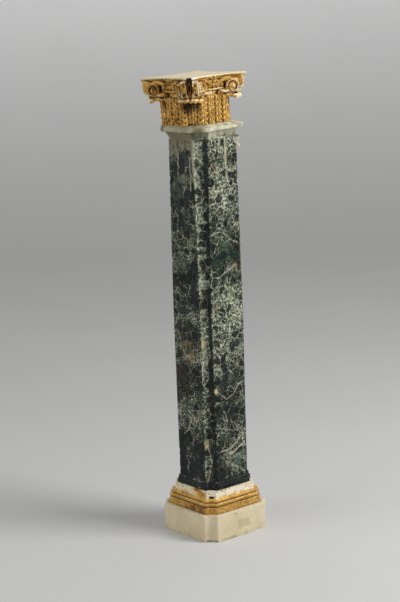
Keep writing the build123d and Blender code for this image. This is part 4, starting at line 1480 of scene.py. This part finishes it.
def crown_solids():
    """Abacus, the ledge under the roll, and the eggs, darts, flower and stems of each side."""
    ledge = [(bell_half + out, bell_scoop, bell_half, height)
             for out, height in ((-12, 83.5), (6, 83.5), (8, 84.5), (8, 86.5), (6, 87.5), (-12, 87.5))]
    solids = [make_abacus(), scooped_rings(ledge, 60, 20)]
    for number in range(egg_count):
        solids += four_times(make_egg(number))
    for number in range(egg_count + 1):
        solids += four_times(make_dart(number))
    return solids + four_times(make_fleuron()) + four_times(make_arm(1)) + four_times(make_arm(-1))


def make_capital():
    """The three parts of the carving, in one gilding."""
    gilding = worn_gilding("worn_gilding_capital", 0.011)
    for name, solids in (("capital_leaves", leaf_solids()), ("capital_scrolls", scroll_solids()),
                         ("capital_crown", crown_solids())):
        put_in_scene(name, finish_carving(name, solids), gilding, "capital")


# Neck collar of pale stone and plaster

def plaster():
    """Chalky stone and plaster, stained, with the marble showing through where it has worn thin, and painted shade
    in the hollows.
    """
    paint = Paint("chalky_stone")
    cloud = paint.noise(30, 4, 0.6)
    grain = paint.noise(260, 4, 0.7)
    colour = paint.mix(paint.fade(cloud, 0.35, 0.65), srgb(190, 186, 154), srgb(228, 224, 196))
    colour = paint.mix(paint.times(paint.fade(grain, 0.48, 0.7), 0.5), colour, srgb(136, 130, 104))
    colour = paint.mix(paint.value("stain"), colour, srgb(112, 104, 78))
    colour = paint.mix(paint.value("stone"), colour, breccia(paint))
    colour = paint.mix(paint.value("chalk"), colour, srgb(236, 234, 214))
    # Painted shade: ambient occlusion darkens the hollows
    colour = paint.mix(paint.times(paint.fade(paint.hollows(0.01), 0.3, 0.9), 0.7), colour, srgb(70, 62, 44))
    relief = paint.add(paint.times(grain, 0.7), paint.times(paint.noise(90, 2), 0.3))
    return paint.finish(colour, 0.8, height=relief, depth=0.0007, gloss=0.3)


def make_collar():
    """Collar fused from its solid, chipped, stained and melting into the marble below; its left side is also
    painted darker as shade.
    """
    mesh = carved("neck_collar_stone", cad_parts["neck_collar"].data.copy(), 1.5)
    mesh.materials.clear()
    points = places(mesh)
    local = moved_by(head_frame.inverted(), points)
    x, y, z = local.T
    proud = np.clip(-hollow_depth(mesh, 8), 0, 2)
    chips = patches(points, 9, 91, 0.5, 0.8) * proud * 1.3
    lump = step(z, 2, -2)
    wave = 0.7 * rough(points, 26, 92) + 0.4 * rough(points, 6, 93) + lump * (3.2 * rough(points, 7, 97) - 1.6)
    keep = step(z, collar_height - 0.2, collar_height - 3)
    move_out(mesh, np.minimum(wave - chips - 0.3, 0.3 + 1.5 * lump) * np.maximum(keep, 0.1))
    on_left = step(-x, 60, 72)
    flare = step(z, 25, 20)
    streaks = rough(np.column_stack([x, y, 0.2 * z]), 8, 94)
    melted = rough(np.column_stack([x, y, 0.5 * z]), 13, 98)
    # Stain in streaks and patches; the left side is stained and also painted darker as shade
    stain = flare * (0.1 + 0.4 * step(streaks, -0.2, 0.5)) + (0.45 * flare + 0.42) * on_left
    stain += 0.42 * patches(points, 13, 95, 0.5, 0.8) + 0.3 * step(z, 33, 36) * step(streaks, -0.2, 0.5)
    stone = flare * (1 - on_left) * (0.12 + 0.75 * step(z + 9 * melted, 15, 4))
    chalk = 0.8 * step(proud, 0.2, 0.7) * patches(points, 11, 96, 0.3, 0.65) + 0.5 * step(melted, 0.0, 0.4)
    # Less chalk on the left side, as painted shade
    chalk = chalk * (1 - 0.6 * on_left)
    store(mesh, stain=np.clip(stain, 0, 0.9) * (1 - 0.8 * lump), stone=np.clip(stone, 0, 0.9) * (1 - lump),
          pale=np.full(len(points), 0.9), chalk=np.clip(chalk * (1 - 0.3 * flare) + 0.45 * lump, 0, 0.9))
    put_in_scene("neck_collar_stone", mesh, plaster(), "neck_collar")


# Floor, backdrop, lights and camera

wall_glow = 0.42
world_light = 0.32
world_seen = 0.8
lamp_target = Vector((0, 0, 0.7))
to_camera = Vector((math.sin(camera_azimuth), -math.cos(camera_azimuth), 0))

# Name, size, power, azimuth, elevation and distance
lamps = [("key_lamp", 1.5, 74, 30, 36, 3.2), ("fill_lamp", 2.2, 21.5, -105, 25, 3.4)]


def seen_by_camera(tree):
    """1 for the rays that show the background: from the camera, in gloss and through glass."""
    path = tree.nodes.new("ShaderNodeLightPath").outputs
    seen = path["Is Camera Ray"]
    for ray in ("Is Glossy Ray", "Is Transmission Ray"):
        larger = tree.nodes.new("ShaderNodeMath")
        larger.operation = "MAXIMUM"
        tree.links.new(seen, larger.inputs[0])
        tree.links.new(path[ray], larger.inputs[1])
        seen = larger.outputs[0]
    return seen


def make_stage():
    """Paper floor that bends up into a backdrop behind the column."""
    half = 4.0
    bend = 1.6
    side = Vector((to_camera.y, -to_camera.x, 0))
    rows = []
    for number in range(13):
        angle = math.pi / 2 * number / 12
        rows.append((-half - bend * math.sin(angle), bend * (1 - math.cos(angle))))
    rows = [(half, 0.0), *rows, (rows[-1][0], bend + 3.0)]
    points = []
    for along, height in rows:
        for across in (-half * 1.6, half * 1.6):
            points.append(to_camera * along + side * across + Vector((0, 0, height)))
    faces = [(2 * n, 2 * n + 1, 2 * n + 3, 2 * n + 2) for n in range(len(rows) - 1)]
    mesh = bpy.data.meshes.new("studio_floor")
    mesh.from_pydata(points, [], faces)
    mesh.polygons.foreach_set("use_smooth", [True] * len(faces))
    paint = Paint("studio_paper")
    tone = paint.noise(1.5, 2)
    colour = paint.mix(tone, srgb(216, 216, 215), srgb(222, 222, 221))
    parts = paint.tree.nodes.new("ShaderNodeSeparateXYZ")
    paint.put(parts.inputs[0], paint.place)
    glow = paint.times(seen_by_camera(paint.tree), wall_glow)
    glow = paint.times(paint.fade(parts.outputs["Z"], -0.2, 2.6), glow)
    paint.shader.inputs["Emission Color"].default_value = (1, 1, 1, 1)
    paint.put(paint.shader.inputs["Emission Strength"], glow)
    mesh.materials.append(paint.finish(colour, 0.9))
    new_object("studio_floor", mesh)


def make_lamp(name, size, power, azimuth, elevation, distance):
    """Soft square lamp that looks at the middle of the column, placed round it like the views are."""
    data = bpy.data.lights.new(name, "AREA")
    data.shape = "SQUARE"
    data.size = size
    data.energy = power
    lamp = new_object(name, data)
    turn = math.radians(azimuth)
    rise = math.radians(elevation)
    way = Vector((math.sin(turn) * math.cos(rise), -math.cos(turn) * math.cos(rise), math.sin(rise)))
    lamp.location = lamp_target + way * distance
    lamp.rotation_euler = (-way).to_track_quat("-Z", "Y").to_euler()


def make_world():
    """White world that lights the column softly and is seen a little brighter."""
    world = bpy.data.worlds.new("studio")
    bpy.context.scene.world = world
    world.use_nodes = True
    tree = world.node_tree
    shade = tree.nodes["Background"]
    strength = tree.nodes.new("ShaderNodeMapRange")
    strength.inputs["To Min"].default_value = world_light
    strength.inputs["To Max"].default_value = world_seen
    tree.links.new(seen_by_camera(tree), strength.inputs["Value"])
    shade.inputs["Color"].default_value = (1, 1, 1, 1)
    tree.links.new(strength.outputs[0], shade.inputs["Strength"])


def make_camera():
    """Camera that stands, pitches and rolls as the one of the photograph did."""
    right = Vector((math.cos(camera_azimuth), math.sin(camera_azimuth), 0))
    forward = -to_camera * math.cos(camera_pitch) - Vector((0, 0, math.sin(camera_pitch)))
    up = right.cross(forward)
    rolled_right = right * math.cos(camera_roll) + up * math.sin(camera_roll)
    rolled_up = -right * math.sin(camera_roll) + up * math.cos(camera_roll)
    data = bpy.data.cameras.new("camera")
    data.sensor_width = 36.0
    data.lens = camera_lens
    camera = new_object("camera", data)
    turn = Matrix((rolled_right, rolled_up, -forward)).transposed().to_4x4()
    eye = to_camera * camera_distance + Vector((0, 0, camera_height)) + right * camera_aside
    camera.matrix_world = Matrix.Translation(eye) @ turn
    bpy.context.scene.camera = camera


make_plinth()
make_gilt_base()
make_shaft()
make_collar()
make_capital()
make_stage()
make_world()
for lamp in lamps:
    make_lamp(*lamp)
make_camera()
bpy.context.scene.view_settings.view_transform = "Standard"
